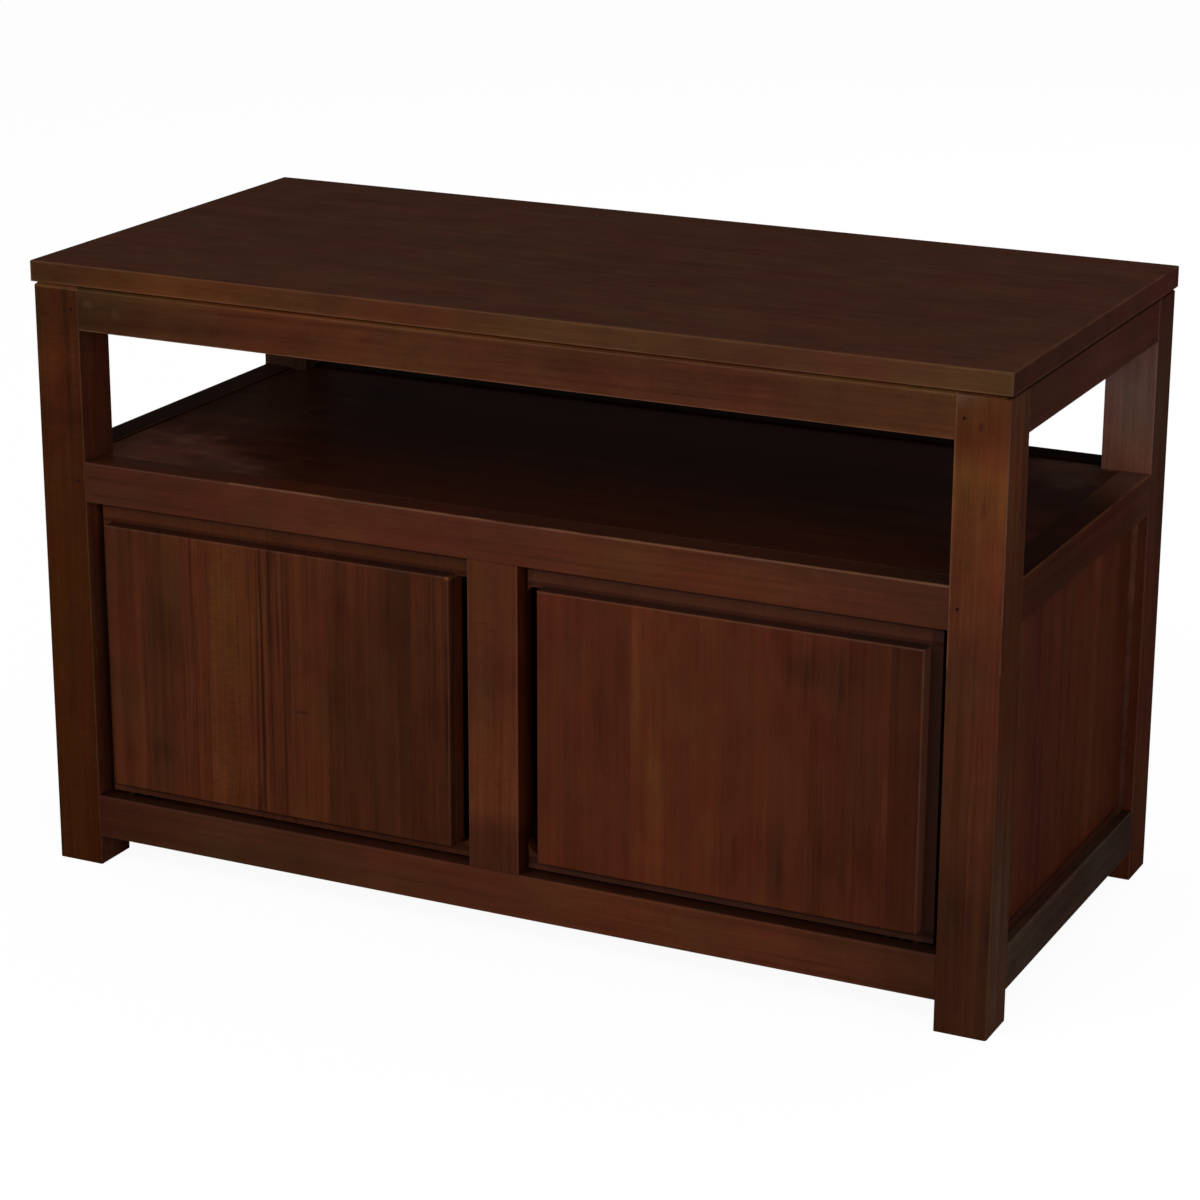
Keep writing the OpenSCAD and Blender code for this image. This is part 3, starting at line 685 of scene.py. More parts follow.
LEGS = {
    "leg_front_left": dict(
        base=(63, 28.5, 15.5), specular=0.12, ripple=0.4, blotches=0.5, wear=0.12,
        tones=[("z", [
            (0.0, 0.68, 0.55, 0.07), (0.10, 0.78, 0.65, 0.07), (0.20, 0.83, 0.69, 0.07),
            (0.30, 0.93, 0.78, 0.09), (0.42, 0.78, 0.68, 0.20), (0.445, 0.65, 0.55, 0.20),
            (0.50, 1.10, 0.98, 0.44), (0.54, 0.74, 0.78, 0.27), (0.57, 0.74, 0.80, 0.40)],
                FRONT_FACE)],
        # A pale line on the chamfer, partly bare wood and partly painted highlight, and painted
        # light on the inner face beside the door.
        painted_shading=[([("z", 0.5652, None), ("y", None, -0.2195)], (2.1, 2.8, 2.4)),
                ([("x", -0.4275, None), ("z", None, 0.364)], (1.25, 1.32, 1.5))]),
    "leg_front_right": dict(
        base=(66, 34, 17.8), blotches=0.3, wear=0.35, worn_at=[("z", 0.33, None)],
        tones=[("z", [
            (0.0, 0.85, 0.76, 0.65), (0.12, 0.71, 0.58, 0.48), (0.19, 1.05, 0.80, 0.56),
            (0.26, 1.15, 0.89, 0.60), (0.33, 1.07, 0.83, 0.57), (0.37, 1.29, 1.02, 0.72),
            (0.44, 1.40, 1.09, 0.60), (0.50, 1.60, 1.48, 0.56), (0.53, 1.10, 0.81, 0.32),
            (0.57, 1.13, 1.10, 0.52)], FRONT_FACE),
               ("z", [
                   (0.0, 1.45, 1.92, 2.75), (0.12, 1.12, 1.55, 1.95),
                   (0.19, 1.02, 1.12, 1.15), (0.26, 1.02, 0.80, 0.52),
                   (0.37, 0.96, 0.80, 0.52), (0.44, 0.95, 0.92, 0.78),
                   (0.50, 1.10, 0.94, 0.80), (0.57, 0.98, 1.02, 1.15)], RIGHT_FACE)],
        painted_shading=[PAINTED_GROOVE_SHADOW],
        marks=marks_on("y", FRONT, [
            (0.450, 0.541, 0.004, 0.006, 0.66, 0.52, 0.46),
            (0.455, 0.470, 0.005, 0.012, 0.82, 0.72, 0.66),
            (0.440, 0.500, 0.007, 0.030, 1.10, 1.16, 1.0)])),
    # Its stain is darker as a painted shade of the bay.
    "leg_rear_left": dict(base=(48, 24, 12), wear=0.1),
    "leg_rear_right": dict(
        base=(60, 28.5, 14), wear=0.15,
        tones=[("z", [
            (0.0, 1.30, 1.00, 0.72), (0.15, 1.33, 0.95, 0.63), (0.25, 1.29, 0.97, 0.53),
            (0.36, 1.10, 0.96, 0.82), (0.42, 1.14, 1.27, 1.27), (0.48, 1.18, 1.72, 2.20),
            (0.57, 1.22, 0.90, 1.50)], ())],
        # Painted light on the front face that shows in the bay, and a painted tint of light and
        # shade on that face beside the side panel.
        painted_shading=[([("z", 0.403, 0.566), REAR_LEG_FACE], (2.5, 3.15, 5.3)),
                ([("z", 0.071, 0.364), REAR_LEG_FACE], (0.88, 1.02, 1.50)),
                PAINTED_GROOVE_SHADOW]),
}
for cut, (node, look) in enumerate(LEGS.items(), start=1):
    dress_stick(node, cut, "z", LEG_EDGE, bands=0.6, streaks=0.7, **look)

# %% [markdown]
# The rails lie level, so their grain runs left to right on the front and the
# back, and front to back on the sides. The front ones show most. Each is
# lighter and darker along its length, and the faces behind the front face get
# a painted shade, so the top of the bottom rail is nearly black.

# %% Front rails
# The faces behind the front face get a painted shade.
PAINTED_SHADE_BEHIND = [("y", FRONT + 1.4 * MM, None)]


def dress_rails(rails, first_cut):
    """Dresses some rails, each with a cut of its own."""
    for cut, (node, look) in enumerate(rails.items(), start=first_cut):
        dress_stick(node, cut, least=RAIL_EDGE, bands=0.4, streaks=0.45, **look)


dress_rails({
    "top_rail_front": dict(
        runs="x", base=(67.8, 33.4, 16.6), wear=0.35, specular=0.12,
        tones=[("x", [
            (-0.43, 0.53, 0.74, 0.62), (-0.385, 0.62, 0.80, 0.58), (-0.35, 0.82, 0.95, 0.74),
            (-0.29, 0.93, 0.93, 0.80), (-0.23, 1.12, 0.99, 0.85), (-0.11, 1.13, 1.14, 0.99),
            (0.0, 1.05, 0.96, 0.87), (0.13, 1.01), (0.26, 0.97),
            (0.43, 1.06, 1.30, 1.15)], ())],
        # A pale line along the chamfer, partly bare wood and partly painted highlight.
        painted_shading=[([("z", 0.5648, 0.5678), ("y", None, -0.2222)], (1.20, 1.40, 1.10))],
        marks=marks_on("y", FRONT, [
            (-0.416, 0.5535, 0.009, 0.006, 1.45, 1.75, 2.1),
            (-0.386, 0.5480, 0.006, 0.008, 1.25, 1.45, 1.7)])),
    "mid_rail_front": dict(
        runs="x", base=(66.8, 29.2, 13.4), wear=0.6,
        worn_at=[("z", 0.39, None), ("x", -0.27, None)],
        tones=[("x", [
            (-0.43, 0.85, 0.94, 1.00), (-0.35, 0.97), (-0.29, 1.15, 1.05, 1.00),
            (-0.17, 1.19, 1.15, 1.04), (0.0, 1.13, 1.04, 1.04), (0.13, 1.35, 1.38, 1.15),
            (0.25, 1.18, 1.22, 1.00), (0.34, 1.07), (0.42, 0.90)], ()),
               # Painted shade on the upper face, less of it on the left.
               ("x", [
                   (-0.43, 0.92, 0.97, 1.15), (-0.16, 0.80, 0.78, 0.86),
                   (-0.12, 0.64, 0.64, 0.71), (0.43, 0.59, 0.61, 0.70)], PAINTED_SHADE_BEHIND)]),
    "bottom_rail_front": dict(
        runs="x", base=(65.6, 31.1, 16.2), wear=0.05, specular=0.08, gloss=0.45,
        tones=[("x", [
            (-0.43, 0.63, 0.53, 0.52), (-0.29, 0.86, 0.94, 0.91), (-0.20, 0.83, 0.92, 0.87),
            (-0.11, 1.21, 1.08, 1.07), (0.0, 1.23, 1.03, 1.04), (0.07, 1.39, 1.30, 1.13),
            (0.28, 1.25, 1.19, 1.10), (0.37, 1.00, 1.00, 0.92), (0.43, 0.72)], ()),
               # Painted shade on the upper face.
               ("x", [
                   (-0.43, 0.62, 0.66, 0.90), (-0.05, 0.58, 0.60, 0.85),
                   (0.0, 0.46, 0.51, 0.70), (0.43, 0.46, 0.52, 0.70)], PAINTED_SHADE_BEHIND)]),
}, 10)

# %% [markdown]
# The side and rear rails are the same stock. Of these the right ones show. The
# middle one's upper face has a painted shade at the front and painted light
# towards the back, and the bottom one is the greyest wood on the stand, with a
# painted shade on its upper face. The rear middle rail stands in the dark of
# the bay, and a painted shade makes the face that it turns to the front nearly
# black.

# %% Side and rear rails
dress_rails({
    "top_rail_rear": dict(runs="x", base=(60, 29, 15), wear=0.2),
    # A painted shade on the faces this rail turns to the front.
    "mid_rail_rear": dict(runs="x", base=(58, 28, 15), wear=0.03, specular=0.02,
                          painted_shading=[([("y", None, 0.2235)], (0.13, 0.08, 0.06))]),
    "bottom_rail_rear": dict(runs="x", base=(60, 29, 15), wear=0.2),
    "top_rail_left": dict(runs="y", base=(62, 32, 18), wear=0.2),
    "top_rail_right": dict(
        runs="y", base=(67, 32.5, 21.5), wear=0.2,
        tones=[("y", [
            (-0.18, 0.88, 0.88, 0.87), (-0.08, 1.00, 0.95, 0.96), (0.0, 1.08, 1.04, 1.15),
            (0.08, 1.02, 0.95, 0.80), (0.18, 0.99, 0.82, 0.76)], ())],
        # A painted shadow in the groove under the top at the right end.
        painted_shading=[PAINTED_GROOVE_SHADOW]),
    # Its stain is darker as a painted shade of the bay, where its upper face shows.
    "mid_rail_left": dict(runs="y", base=(35, 15.5, 8.5), wear=0.15, specular=0.05),
    "mid_rail_right": dict(
        runs="y", base=(61.5, 26.3, 12.5), specular=0.08, wear=0.3,
        worn_at=[("z", 0.39, None), ("x", 0.47, None)],
        tones=[("y", [
            (-0.18, 1.03, 0.93, 0.98), (-0.08, 0.88, 0.96, 0.85), (0.0, 0.96, 0.90, 0.82),
            (0.10, 1.00, 1.00, 0.92), (0.18, 1.33, 1.62, 2.20)], ()),
               # Painted shade at the front of the upper face and painted light towards the back.
               ("y", [
                   (-0.18, 0.45, 0.37, 0.35), (0.05, 0.50, 0.44, 0.52),
                   (0.075, 0.80, 0.90, 1.10), (0.10, 1.25, 1.80, 2.30),
                   (0.13, 1.55, 2.40, 3.60), (0.18, 1.55, 2.20, 3.60)],
                [("z", 0.4022, None), ("x", None, 0.4735)])]),
    "bottom_rail_left": dict(runs="y", base=(58, 31, 20), wear=0.15),
    "bottom_rail_right": dict(
        runs="y", base=(59, 41, 33), wear=0.15,
        tones=[("y", [
            (-0.18, 1.12, 1.20, 1.03), (-0.08, 0.93, 0.93, 0.96), (0.0, 1.07, 0.87, 0.90),
            (0.08, 0.88, 0.97, 1.03), (0.18, 0.82, 0.62, 0.56)], ())],
        # A painted shade on the upper face.
        painted_shading=[([("z", 0.0702, None)], (0.70, 0.56, 0.58))]),
}, 13)

# %% [markdown]
# The centre stile stands upright between the doors, so its grain does too. It
# is pale in the middle and dark at its foot, its sides have a painted shade
# where they stand in the recess beside the doors, and a dark scar crosses it
# near the head.

# %% Stile
dress_rails({
    "centre_stile": dict(
        runs="z", base=(72.3, 32.3, 13.8), ripple=0.25, wear=0.10,
        tones=[("z", [
            (0.07, 0.70, 0.71, 0.69), (0.11, 0.80), (0.13, 1.24, 1.23, 1.10),
            (0.20, 1.24, 1.27, 1.12), (0.25, 0.91, 0.87, 0.77), (0.30, 1.08, 1.02, 0.94),
            (0.37, 1.07, 0.94, 0.86)], ())],
        # Painted shade on the sides, which stand in the recess beside the doors.
        painted_shading=[(PAINTED_SHADE_BEHIND, (0.60, 0.50, 0.50))],
        marks=marks_on("y", FRONT, [
            (-0.008, 0.3060, 0.010, 0.0016, 0.80, 0.70, 0.62),
            (0.000, 0.3000, 0.010, 0.0018, 0.76, 0.66, 0.58),
            (-0.013, 0.3085, 0.008, 0.0014, 1.15, 1.20, 1.20)])),
}, 22)

# %% [markdown]
# The top is one wide board glued up from four staves. It starts as a cube of
# the board's size. The upper edges are rounded most, because that is where
# hands and cloths pass, and the lower ones are only broken. Its front edge is
# more golden than its face and its right end darker, because end grain drinks
# more stain.

# %% Tabletop
SAME_PLANE = 0.00001


def board(name, low, high):
    """A cube primitive stretched between two corners, with its place in its mesh."""
    low, high = Vector(low), Vector(high)
    bpy.ops.object.select_all(action="DESELECT")
    bpy.ops.mesh.primitive_cube_add(size=1, location=(low + high) / 2)
    piece = bpy.context.object
    piece.name = name
    piece.scale = high - low
    bpy.ops.object.transform_apply(location=True, rotation=True, scale=True)
    return piece


def edges_at(piece, **planes):
    """Edges whose two ends lie on all the given planes, such as z=0.59."""
    mesh = piece.data
    wanted = []
    for edge in mesh.edges:
        ends = [mesh.vertices[v].co for v in edge.vertices]
        if all(abs(end["xyz".index(letter)] - value) < SAME_PLANE
               for end in ends for letter, value in planes.items()):
            wanted.append(edge.index)
    return wanted


UPPER_ROUND = 1.6 * MM
LOWER_ROUND = 0.5 * MM
low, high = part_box("tabletop")
slab = board("tabletop_wood", low, high)
round_over(slab, edges_at(slab, z=high[2]), UPPER_ROUND, segments=4)
round_over(slab, edges_at(slab, z=low[2]), LOWER_ROUND, segments=2)
END_FACE = [("x", high[0] - 1.0 * MM, None)]
FRONT_EDGE = [("y", None, low[1] + 1.0 * MM)]
finish_piece(slab, ["tabletop"], stained_wood(
    "tabletop_stain", "x", 41, (69, 37.6, 23.6), bands=0.25, streaks=0.28, blotches=0.15,
    gloss=0.42, specular=0.12,
    staves=("y", low[1], high[1], [(low[1], 1.0, 0.10, 0.1), (-0.112, 0.96, 0.08, 0.1),
                                   (0.004, 1.0, 0.12, 0.1), (0.118, 0.97, 0.08, 0.1)]),
    tones=[("y", [(-0.22, 0.66, 0.54, 0.56), (-0.05, 0.80, 0.76, 0.84),
                  (0.22, 1.08, 0.78, 1.02)], END_FACE),
           ("x", [(-0.476, 0.65, 0.76, 0.26), (-0.44, 0.82, 0.85, 0.41),
                  (-0.34, 1.31, 1.12, 0.44), (-0.20, 1.00, 0.87, 0.49),
                  (-0.06, 1.00, 0.79, 0.46), (0.08, 1.07, 1.14, 0.70),
                  (0.20, 0.86, 0.85, 0.58), (0.32, 1.02, 0.93, 0.68),
                  (0.476, 0.95, 1.23, 0.78)], FRONT_EDGE)],
    marks=[((-0.382, low[1], 0.5845), (0.007, 0.01, 0.0035), (1.10, 0.78, 0.40))],
    worn=worn_edges("tabletop", "", 0.22, 2.4 * MM)))
print("tabletop", len(slab.data.polygons), "faces")

# %% [markdown]
# A door is a raised field on a thinner board whose edge shows as a lip all
# round. The board is a cube. Four straight cuts mark the field's outline on
# it, the middle of the front is pulled forward by fifteen millimetres, and
# the field's front edges are rounded. The lip is widest at the top and beside
# the stile, and narrowest beside the leg and at the foot.

# %% Raised field
LIP_BACK = 15 * MM
FIELD_ROUND = 1.8 * MM
FIELD_SIDE = {"hinge": 11 * MM, "meeting": 16 * MM}
FIELD_HEAD = 17 * MM
FIELD_FOOT = 12 * MM


def cut_line(piece, point, normal):
    """Divides every face of a piece along a plane."""
    pick_only(piece)
    bpy.ops.object.mode_set(mode="EDIT")
    bpy.ops.mesh.select_all(action="SELECT")
    bpy.ops.mesh.bisect(plane_co=point, plane_no=normal)
    bpy.ops.object.mode_set(mode="OBJECT")


def raised_field(name, low, high, sides, ends):
    """A board with its middle pulled forward; sides and ends are the field's limits."""
    lip_y = low.y + LIP_BACK
    piece = board(name, (low.x, lip_y, low.z), high)
    for x in sides:
        cut_line(piece, (x, 0, 0), (1, 0, 0))
    for z in ends:
        cut_line(piece, (0, 0, z), (0, 0, 1))
    pick_only(piece)
    bpy.ops.object.mode_set(mode="EDIT")
    bpy.ops.mesh.select_mode(type="FACE")
    bpy.ops.mesh.select_all(action="DESELECT")
    bpy.ops.object.mode_set(mode="OBJECT")
    middle = Vector((sum(sides) / 2, lip_y, sum(ends) / 2))
    for face in piece.data.polygons:
        if face.normal.y < -0.9 and (face.center - middle).length < 10 * MM:
            face.select = True
    bpy.ops.object.mode_set(mode="EDIT")
    bpy.ops.mesh.extrude_region_move(TRANSFORM_OT_translate={"value": (0, -LIP_BACK, 0)})
    bpy.ops.object.mode_set(mode="OBJECT")
    round_over(piece, edges_at(piece, y=low.y), FIELD_ROUND, segments=4)
    print(name, "field", round(abs(sides[0] - sides[1]), 3), "x", round(ends[1] - ends[0], 3))
    return piece


# %% [markdown]
# The pull is a slot through the lip beside the stile, with a quarter round
# foot and a small round at its head. A cutter of that shape is made from
# another cube and taken out with a boolean. It stands a little out of the
# door's edge, so that no thin skin is left there.

# %% Finger slot
SLOT_TOP_IN = 2 * MM
SLOT_TOP_ROUND = 6 * MM
PAST = 0.1 * MM


def cut_slot(piece, lip_y, back_y, inner, outer, foot, head):
    """Takes the finger slot out of the lip, from the field's edge past the door's edge."""
    cutter = board("slot_cutter", (min(inner, outer), lip_y - MM, foot),
                   (max(inner, outer), back_y + MM, head))
    round_over(cutter, edges_at(cutter, x=outer, z=foot), FIELD_SIDE["meeting"], segments=14)
    round_over(cutter, edges_at(cutter, x=outer, z=head), SLOT_TOP_ROUND, segments=8)
    pick_only(piece)
    slot = piece.modifiers.new("finger_slot", "BOOLEAN")
    slot.object = cutter
    slot.operation = "DIFFERENCE"
    slot.solver = "EXACT"
    bpy.ops.object.modifier_apply(modifier=slot.name)
    bpy.data.objects.remove(cutter)
    print(piece.name, "slot from", round(foot, 3), "to", round(head, 3))


# %% [markdown]
# The doors carry the most painted light and shade. The step between the field
# and the lip has a painted shade for its ledges, which are its upper and lower
# faces, and mostly painted light for its right side. The lip has painted light
# and shade of its own, with more painted light above the field, other factors
# below the field and beyond its right side, and painted shadows as dark rims
# along its upper edge and above and below the field. Its figure is calmed,
# because so little of the board shows there. The inner wall of the slot gets
# painted light that grows with depth.

# %% Door shading
PAINTED_RIM_SHADOW = (0.62, 0.54, 0.52)
PAINTED_LIGHT_OVER_HEAD = (1.22, 1.22, 1.14)
TURN = 0.8 * MM
CLEAR = 0.5 * MM
SKIN = 0.6 * MM
SLOT_LIGHT_REACH = 7 * MM
TOP_RIM = 3.6 * MM
HEAD_RIM = 3.5 * MM
FOOT_RIM = 7.5 * MM
FIELD_WEAR = 2.2 * MM
LIP_CALM = 0.65


def lip_face(lip_y):
    """The condition that is true on the face of the lip."""
    return ("y", lip_y - SKIN, lip_y + 1.0 * MM)


def painted_step_and_lip(low, high, lip_y, field, shades):
    """The painted light and shade of a door's step and lip; field is the left, right, low and high
    end of the field.
    """
    left, right, foot, head = field
    step = ("y", low.y + 1.6 * MM, lip_y - SKIN)
    lip = lip_face(lip_y)
    return [([step, ("z", head - TURN, None)], shades["ledge"]),
            ([step, ("z", None, foot + TURN)], shades["ledge"]),
            ([step, ("x", right - TURN, None)], shades["side"]),
            ([lip], shades["lip"]),
            ([lip, ("z", head + CLEAR, None)], PAINTED_LIGHT_OVER_HEAD),
            ([lip, ("z", None, foot - CLEAR)], shades["foot"]),
            ([lip, ("x", right + CLEAR, None)], shades["beyond"]),
            ([lip, ("z", high.z - TOP_RIM, None)], PAINTED_RIM_SHADOW),
            ([lip, ("z", head - CLEAR, head + HEAD_RIM)], PAINTED_RIM_SHADOW),
            ([lip, ("z", foot - FOOT_RIM, foot - CLEAR)], PAINTED_RIM_SHADOW)]


def painted_slot_light(lip_y, back_y, inner, foot, head):
    """Painted light on the slot's inner wall, growing from the field's face to the door's back."""
    stops = [(lip_y - SLOT_LIGHT_REACH, 1.0), (lip_y - MM, 1.3, 1.4, 1.6),
             (lip_y + 5 * MM, 2.7, 2.6, 2.7), (back_y, 3.6, 3.3, 3.2)]
    return ("y", stops, [("x", inner - MM, inner + MM), ("y", lip_y - SLOT_LIGHT_REACH, None),
                         ("z", foot, head)])


def door(node, side, name, shades, wear, **look):
    """One door; side is -1 for the left one and 1 for the right one."""
    low, high = (Vector(corner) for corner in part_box(node))
    lip_y = low.y + LIP_BACK
    hinge, meeting = (low.x, high.x) if side < 0 else (high.x, low.x)
    field_hinge = hinge - side * FIELD_SIDE["hinge"]
    field_meeting = meeting + side * FIELD_SIDE["meeting"]
    left, right = sorted((field_hinge, field_meeting))
    foot, head = low.z + FIELD_FOOT, high.z - FIELD_HEAD
    slot_head = head - SLOT_TOP_IN
    piece = raised_field(node + "_wood", low, high, (field_hinge, field_meeting), (foot, head))
    cut_slot(piece, lip_y, high.y, field_meeting, meeting - side * PAST, foot, slot_head)

    # Painted shade and light on the step and the lip, and painted light on the slot's inner wall.
    painted_shading = painted_step_and_lip(low, high, lip_y, (left, right, foot, head), shades)
    wall = painted_slot_light(lip_y, high.y, field_meeting, foot, slot_head)
    worn = ((left - 1, low.y, foot - 1), (right, 1.0, head), wear, FIELD_WEAR,
            [("y", None, low.y + 2.0 * MM)])
    finish_piece(piece, [node], stained_wood(
        name, "z", calm=[([lip_face(lip_y)], LIP_CALM)], tones=[wall], painted_shading=painted_shading, worn=worn,
        **look))


# %% [markdown]
# The two doors are cut from different boards. The left one is streaky, with a
# golden stave and thin dark lines in the middle, and the right one is redder
# and plainer, with dark clouds towards the leg. Each stave and each mark is
# where the photograph shows it.

# %% The two doors
door(
    "door_panel_left", -1, "door_left_stain",
    # Painted shade and light for the step's ledges and side and for the lip.
    dict(ledge=(0.49, 0.33, 0.29), side=(0.92, 1.08, 2.3), lip=(1.05, 1.18, 1.55),
         foot=(1.15, 1.2, 1.65), beyond=(1.0, 1.0, 1.0)),
    wear=0.06, cut=51, base=(63, 26.3, 7.2), bands=0.5, streaks=0.8, blotches=0.3,
    staves=("x", -0.43, -0.02, [
        (-0.43, 1.13, 0.06, 0.1), (-0.365, 1.05, 0.08, 0.1), (-0.326, 1.24, 0.28, 0.1),
        (-0.298, 1.41, 0.20, 0.5), (-0.256, 1.42, 0.45, 0.2), (-0.236, 1.10, 0.45, 0.2),
        (-0.209, 1.33, 0.08, 0.1), (-0.171, 0.99, 0.10, 0.2), (-0.130, 0.89, 0.10, 0.2),
        (-0.082, 1.00, 0.30, 0.2)]),
    marks=marks_on("y", FRONT, [
        (-0.277, 0.280, 0.026, 0.100, 1.06, 1.25, 0.80),
        (-0.345, 0.245, 0.045, 0.075, 0.80, 0.84, 0.80),
        (-0.350, 0.130, 0.020, 0.020, 0.75, 0.80, 0.75),
        (-0.150, 0.215, 0.045, 0.080, 0.84, 0.90, 0.85),
        (-0.105, 0.285, 0.022, 0.055, 0.80, 0.84, 0.80),
        (-0.198, 0.192, 0.012, 0.0022, 0.50, 0.50, 0.55),
        (-0.2165, 0.200, 0.0022, 0.30, 0.60, 0.55, 0.55),
        (-0.240, 0.210, 0.0016, 0.26, 0.62, 0.58, 0.58),
        (-0.252, 0.240, 0.0013, 0.22, 0.66, 0.62, 0.60),
        (-0.0455, 0.3425, 0.004, 0.003, 2.6, 3.2, 3.2)]))
door(
    "door_panel_right", 1, "door_right_stain",
    # Painted shade and light for the step's ledges and side and for the lip.
    dict(ledge=(0.45, 0.50, 0.74), side=(2.4, 4.1, 9.4), lip=(0.91, 1.28, 2.25),
         foot=(0.98, 1.08, 1.35), beyond=(0.66, 0.71, 0.82)),
    wear=0.19, cut=52, base=(66, 26.2, 8.5), bands=0.30, streaks=0.38, blotches=0.25,
    staves=("x", 0.02, 0.43, [
        (0.02, 1.16, 0.02, 0.05), (0.136, 1.30, 0.05, 0.1), (0.172, 1.22, 0.02, 0.05),
        (0.268, 1.10, 0.04, 0.05), (0.306, 0.94, 0.10, 0.1), (0.340, 0.92, 0.12, 0.1),
        (0.378, 0.68, 0.12, 0.1)]),
    marks=marks_on("y", FRONT, [
        (0.095, 0.210, 0.022, 0.140, 1.08, 1.08, 1.0),
        # The next two marks are bright golden streaks, painted glints of light on the golden stave.
        (0.142, 0.270, 0.009, 0.085, 1.18, 1.45, 1.0),
        (0.160, 0.165, 0.012, 0.110, 1.16, 1.40, 0.95),
        (0.286, 0.308, 0.005, 0.040, 0.82, 0.79, 0.78),
        (0.301, 0.296, 0.004, 0.036, 0.80, 0.78, 0.76),
        (0.334, 0.300, 0.005, 0.050, 0.76, 0.76, 0.72),
        (0.238, 0.125, 0.006, 0.040, 0.80, 0.72, 0.70),
        (0.281, 0.118, 0.006, 0.036, 0.76, 0.74, 0.72),
        (0.318, 0.135, 0.006, 0.048, 0.76, 0.80, 0.74),
        (0.362, 0.150, 0.005, 0.055, 0.78, 0.86, 0.76),
        (0.376, 0.200, 0.004, 0.050, 1.22, 1.40, 1.0),
        (0.347, 0.130, 0.005, 0.040, 1.18, 1.36, 1.0),
        (0.250, 0.175, 0.030, 0.100, 1.04, 0.98, 0.95),
        (0.296, 0.309, 0.030, 0.022, 0.84, 0.80, 0.78),
        (0.300, 0.128, 0.008, 0.050, 0.80, 0.80, 0.80),
        (0.332, 0.255, 0.010, 0.060, 0.86, 0.90, 0.86),
        (0.128, 0.285, 0.012, 0.060, 0.80, 0.85, 0.80),
        (0.320, 0.310, 0.070, 0.035, 0.84, 0.90, 0.88),
        (0.270, 0.125, 0.035, 0.060, 0.84, 0.88, 0.85),
        (0.345, 0.150, 0.030, 0.080, 0.86, 0.90, 0.86)]))

# %% [markdown]
# The panels, boards, cleats and battens are plain boards whose edges hide in
# grooves and corners. Their imported solids already have the right shape, so
# they stay, and only get their wood. The shelf's stain is darker than the
# rest and darker towards the back, as a painted shade, with pale marks of
# painted light where light falls in from the left and the right. The right
# bead has a painted highlight along its rear strip. Nobody stains a cleat, so
# those are bare hardwood.

# %% Panels and boards
UNSTAINED = dict(base=(98, 64, 38), gloss=0.6)
SHELF_TOP = 0.401
BOARDS = {
    "side_panel_left": dict(runs="z", base=(70, 30, 15)),
    "side_panel_right": dict(runs="z", base=(72, 29, 12.8), tones=[("y", [
        (-0.18, 0.90, 1.17, 1.15), (-0.12, 1.03), (-0.03, 0.97), (0.03, 0.97, 0.95, 0.74),
        (0.055, 0.96, 0.94, 0.64), (0.075, 1.35, 1.45, 1.36), (0.09, 1.04, 0.97, 0.74),
        (0.13, 1.05, 1.08, 1.0), (0.18, 0.77, 0.94, 0.98)], ())]),
    "side_bead_left": dict(runs="y", base=(56, 26, 13), specular=0.08),
    "side_bead_right": dict(
        runs="y", base=(55, 25.8, 14.5), specular=0.08,
        tones=[("z", [(0.07, 0.78), (0.20, 0.95), (0.30, 1.25), (0.37, 1.3)], ())],
        # A painted highlight along the bead's rear strip.
        painted_shading=[([("y", 0.160, None)], (1.30, 1.42, 1.65))]),
    "back_panel": dict(runs="x", base=(56, 30, 18), gloss=0.5),
    # A darker stain and a darker back as painted shade, and marks of painted light.
    "shelf_board": dict(
        runs="x", base=(48, 19, 8.3), specular=0.08, gloss=0.40,
        tones=[("y", [(-0.2, 0.95), (-0.14, 1.05), (0.0, 1.03), (0.06, 0.76), (0.2, 0.64)], ())],
        marks=marks_on("z", SHELF_TOP, [
            (-0.410, -0.190, 0.180, 0.130, 3.4, 4.8, 7.0),
            (-0.370, 0.050, 0.090, 0.180, 1.6, 2.0, 2.3),
            (-0.270, -0.190, 0.130, 0.070, 1.12, 1.35, 1.7),
            (-0.407, -0.075, 0.075, 0.085, 1.50, 1.55, 1.6),
            (-0.325, -0.020, 0.080, 0.100, 1.35, 1.55, 1.8),
            (-0.350, -0.175, 0.075, 0.035, 0.82, 0.74, 0.7),
            (-0.335, 0.130, 0.120, 0.060, 0.66, 0.62, 0.5),
            (0.430, 0.185, 0.110, 0.110, 2.7, 4.2, 7.0),
            (0.400, 0.020, 0.080, 0.120, 1.3, 1.4, 2.0)])),
    "bottom_board": dict(runs="x", base=(66, 35, 20), gloss=0.45),
    "shelf_cleats": dict(runs="x", **UNSTAINED),
    "bottom_cleats": dict(runs="x", **UNSTAINED),
    "shelf_bearer": dict(runs="y", **UNSTAINED),
    "bottom_bearer": dict(runs="y", **UNSTAINED),
    "top_batten_left": dict(runs="y", **UNSTAINED),
    "top_batten_right": dict(runs="y", **UNSTAINED),
}


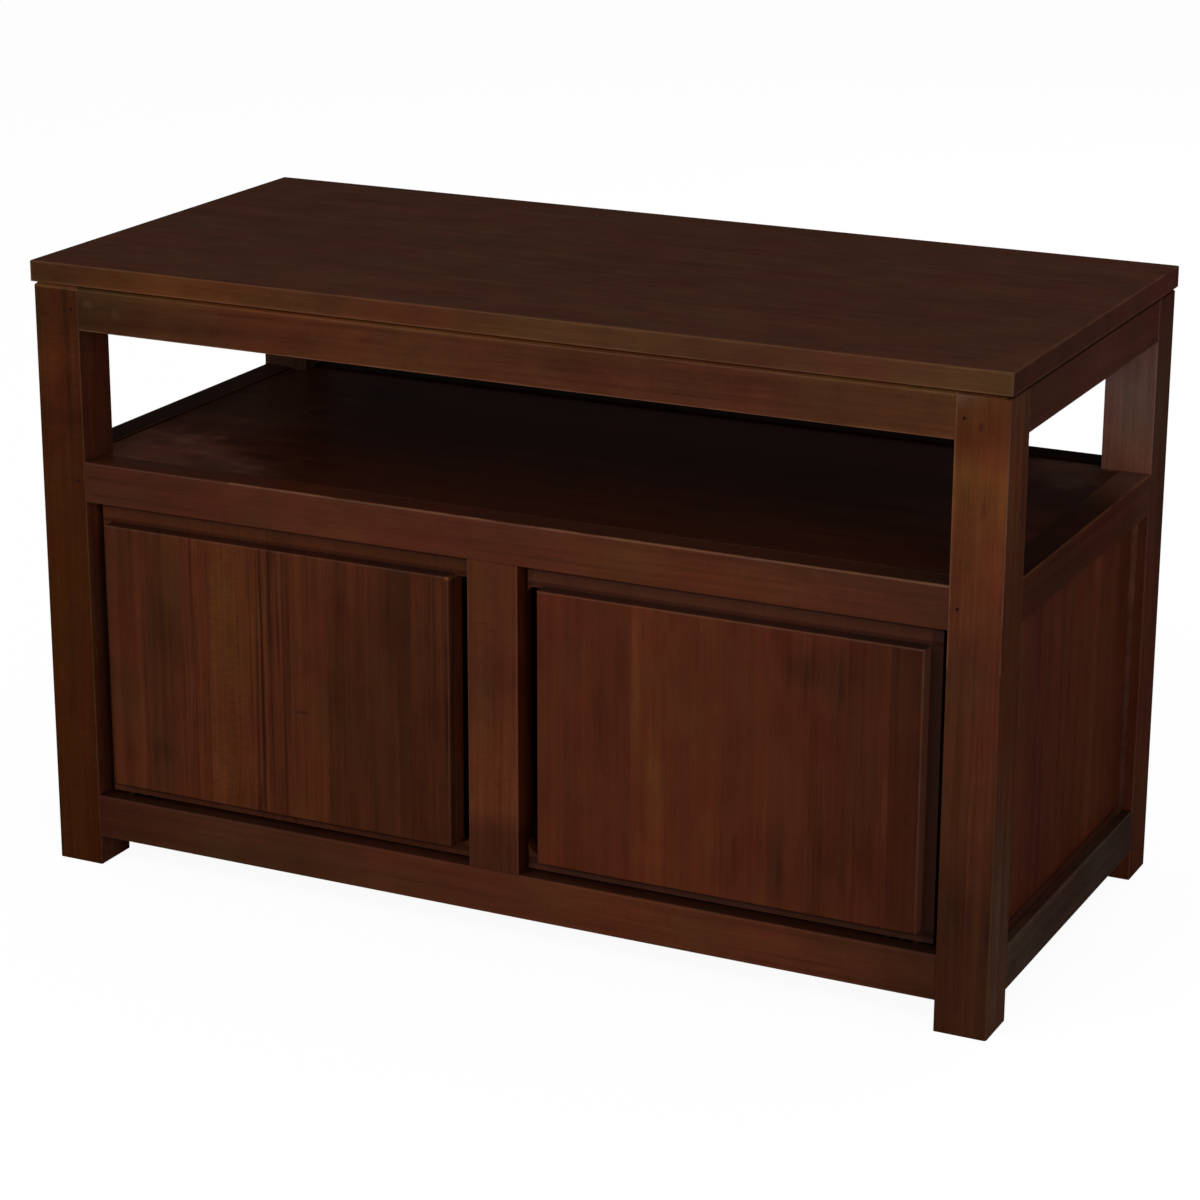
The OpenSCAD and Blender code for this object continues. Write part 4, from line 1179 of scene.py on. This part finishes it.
def dress_node(node, material):
    """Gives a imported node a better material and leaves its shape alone."""
    slots = frame["nodes"][node].data.materials
    slots.clear()
    slots.append(material)


for cut, (node, look) in enumerate(BOARDS.items(), start=61):
    dress_node(node, stained_wood(node + "_stain", cut=cut, **look))
print("boards dressed:", len(BOARDS))

# %% [markdown]
# The joint pins are dark end grain. The hidden hardware is bronzed brass for
# the pivots, zinc plated steel for screws and strike plates, brown plastic for
# the catches and bare magnet in them. Each is a plain surface with a fine
# speckle, which is all that brushing or moulding leaves at this size.

# %% Small pieces
def plain_finish(name, base, metallic, roughness, speckle, specular=0.5):
    """A metal or plastic with a fine speckle in its colour and its gloss."""
    material, tree = new_material(name)
    where = tree.nodes.new("ShaderNodeTexCoord").outputs["Object"]
    fleck = put(tree, "TexNoise", {"Vector": where, "Scale": speckle, "Detail": 3})
    darker = tuple(c * 0.7 for c in base[:3]) + (1,)
    shade = put(tree, "MixRGB", {0: fleck, 1: darker, 2: base})
    rough = maths(tree, "MULTIPLY_ADD", fleck, 0.2, roughness - 0.1)
    surface = put(tree, "BsdfPrincipled", {"Metallic": metallic, "Specular IOR Level": specular,
                                           "Base Color": shade, "Roughness": rough})
    put(tree, "OutputMaterial", {"Surface": surface})
    return material


PIN = plain_finish("dark_pin_end", colour(34, 11, 7), 0.0, 0.8, 900, 0.08)
PLASTIC = plain_finish("brown_plastic", colour(52, 34, 24), 0.0, 0.5, 700)
MAGNET = plain_finish("bare_magnet", colour(60, 60, 64), 0.2, 0.6, 900)
BRASS = plain_finish("bronzed_brass", colour(84, 60, 40), 1.0, 0.42, 600)
STEEL = plain_finish("zinc_steel", colour(186, 186, 182), 1.0, 0.35, 800)
SMALL = {"joint_pins": PIN, "catch_left": PLASTIC, "catch_right": PLASTIC, "catch_magnets": MAGNET}
for node in frame["nodes"]:
    if "leaf" in node:
        SMALL[node] = BRASS
    elif "screws" in node or "strike" in node:
        SMALL[node] = STEEL
for node, finish in SMALL.items():
    dress_node(node, finish)
print("small pieces dressed:", len(SMALL))
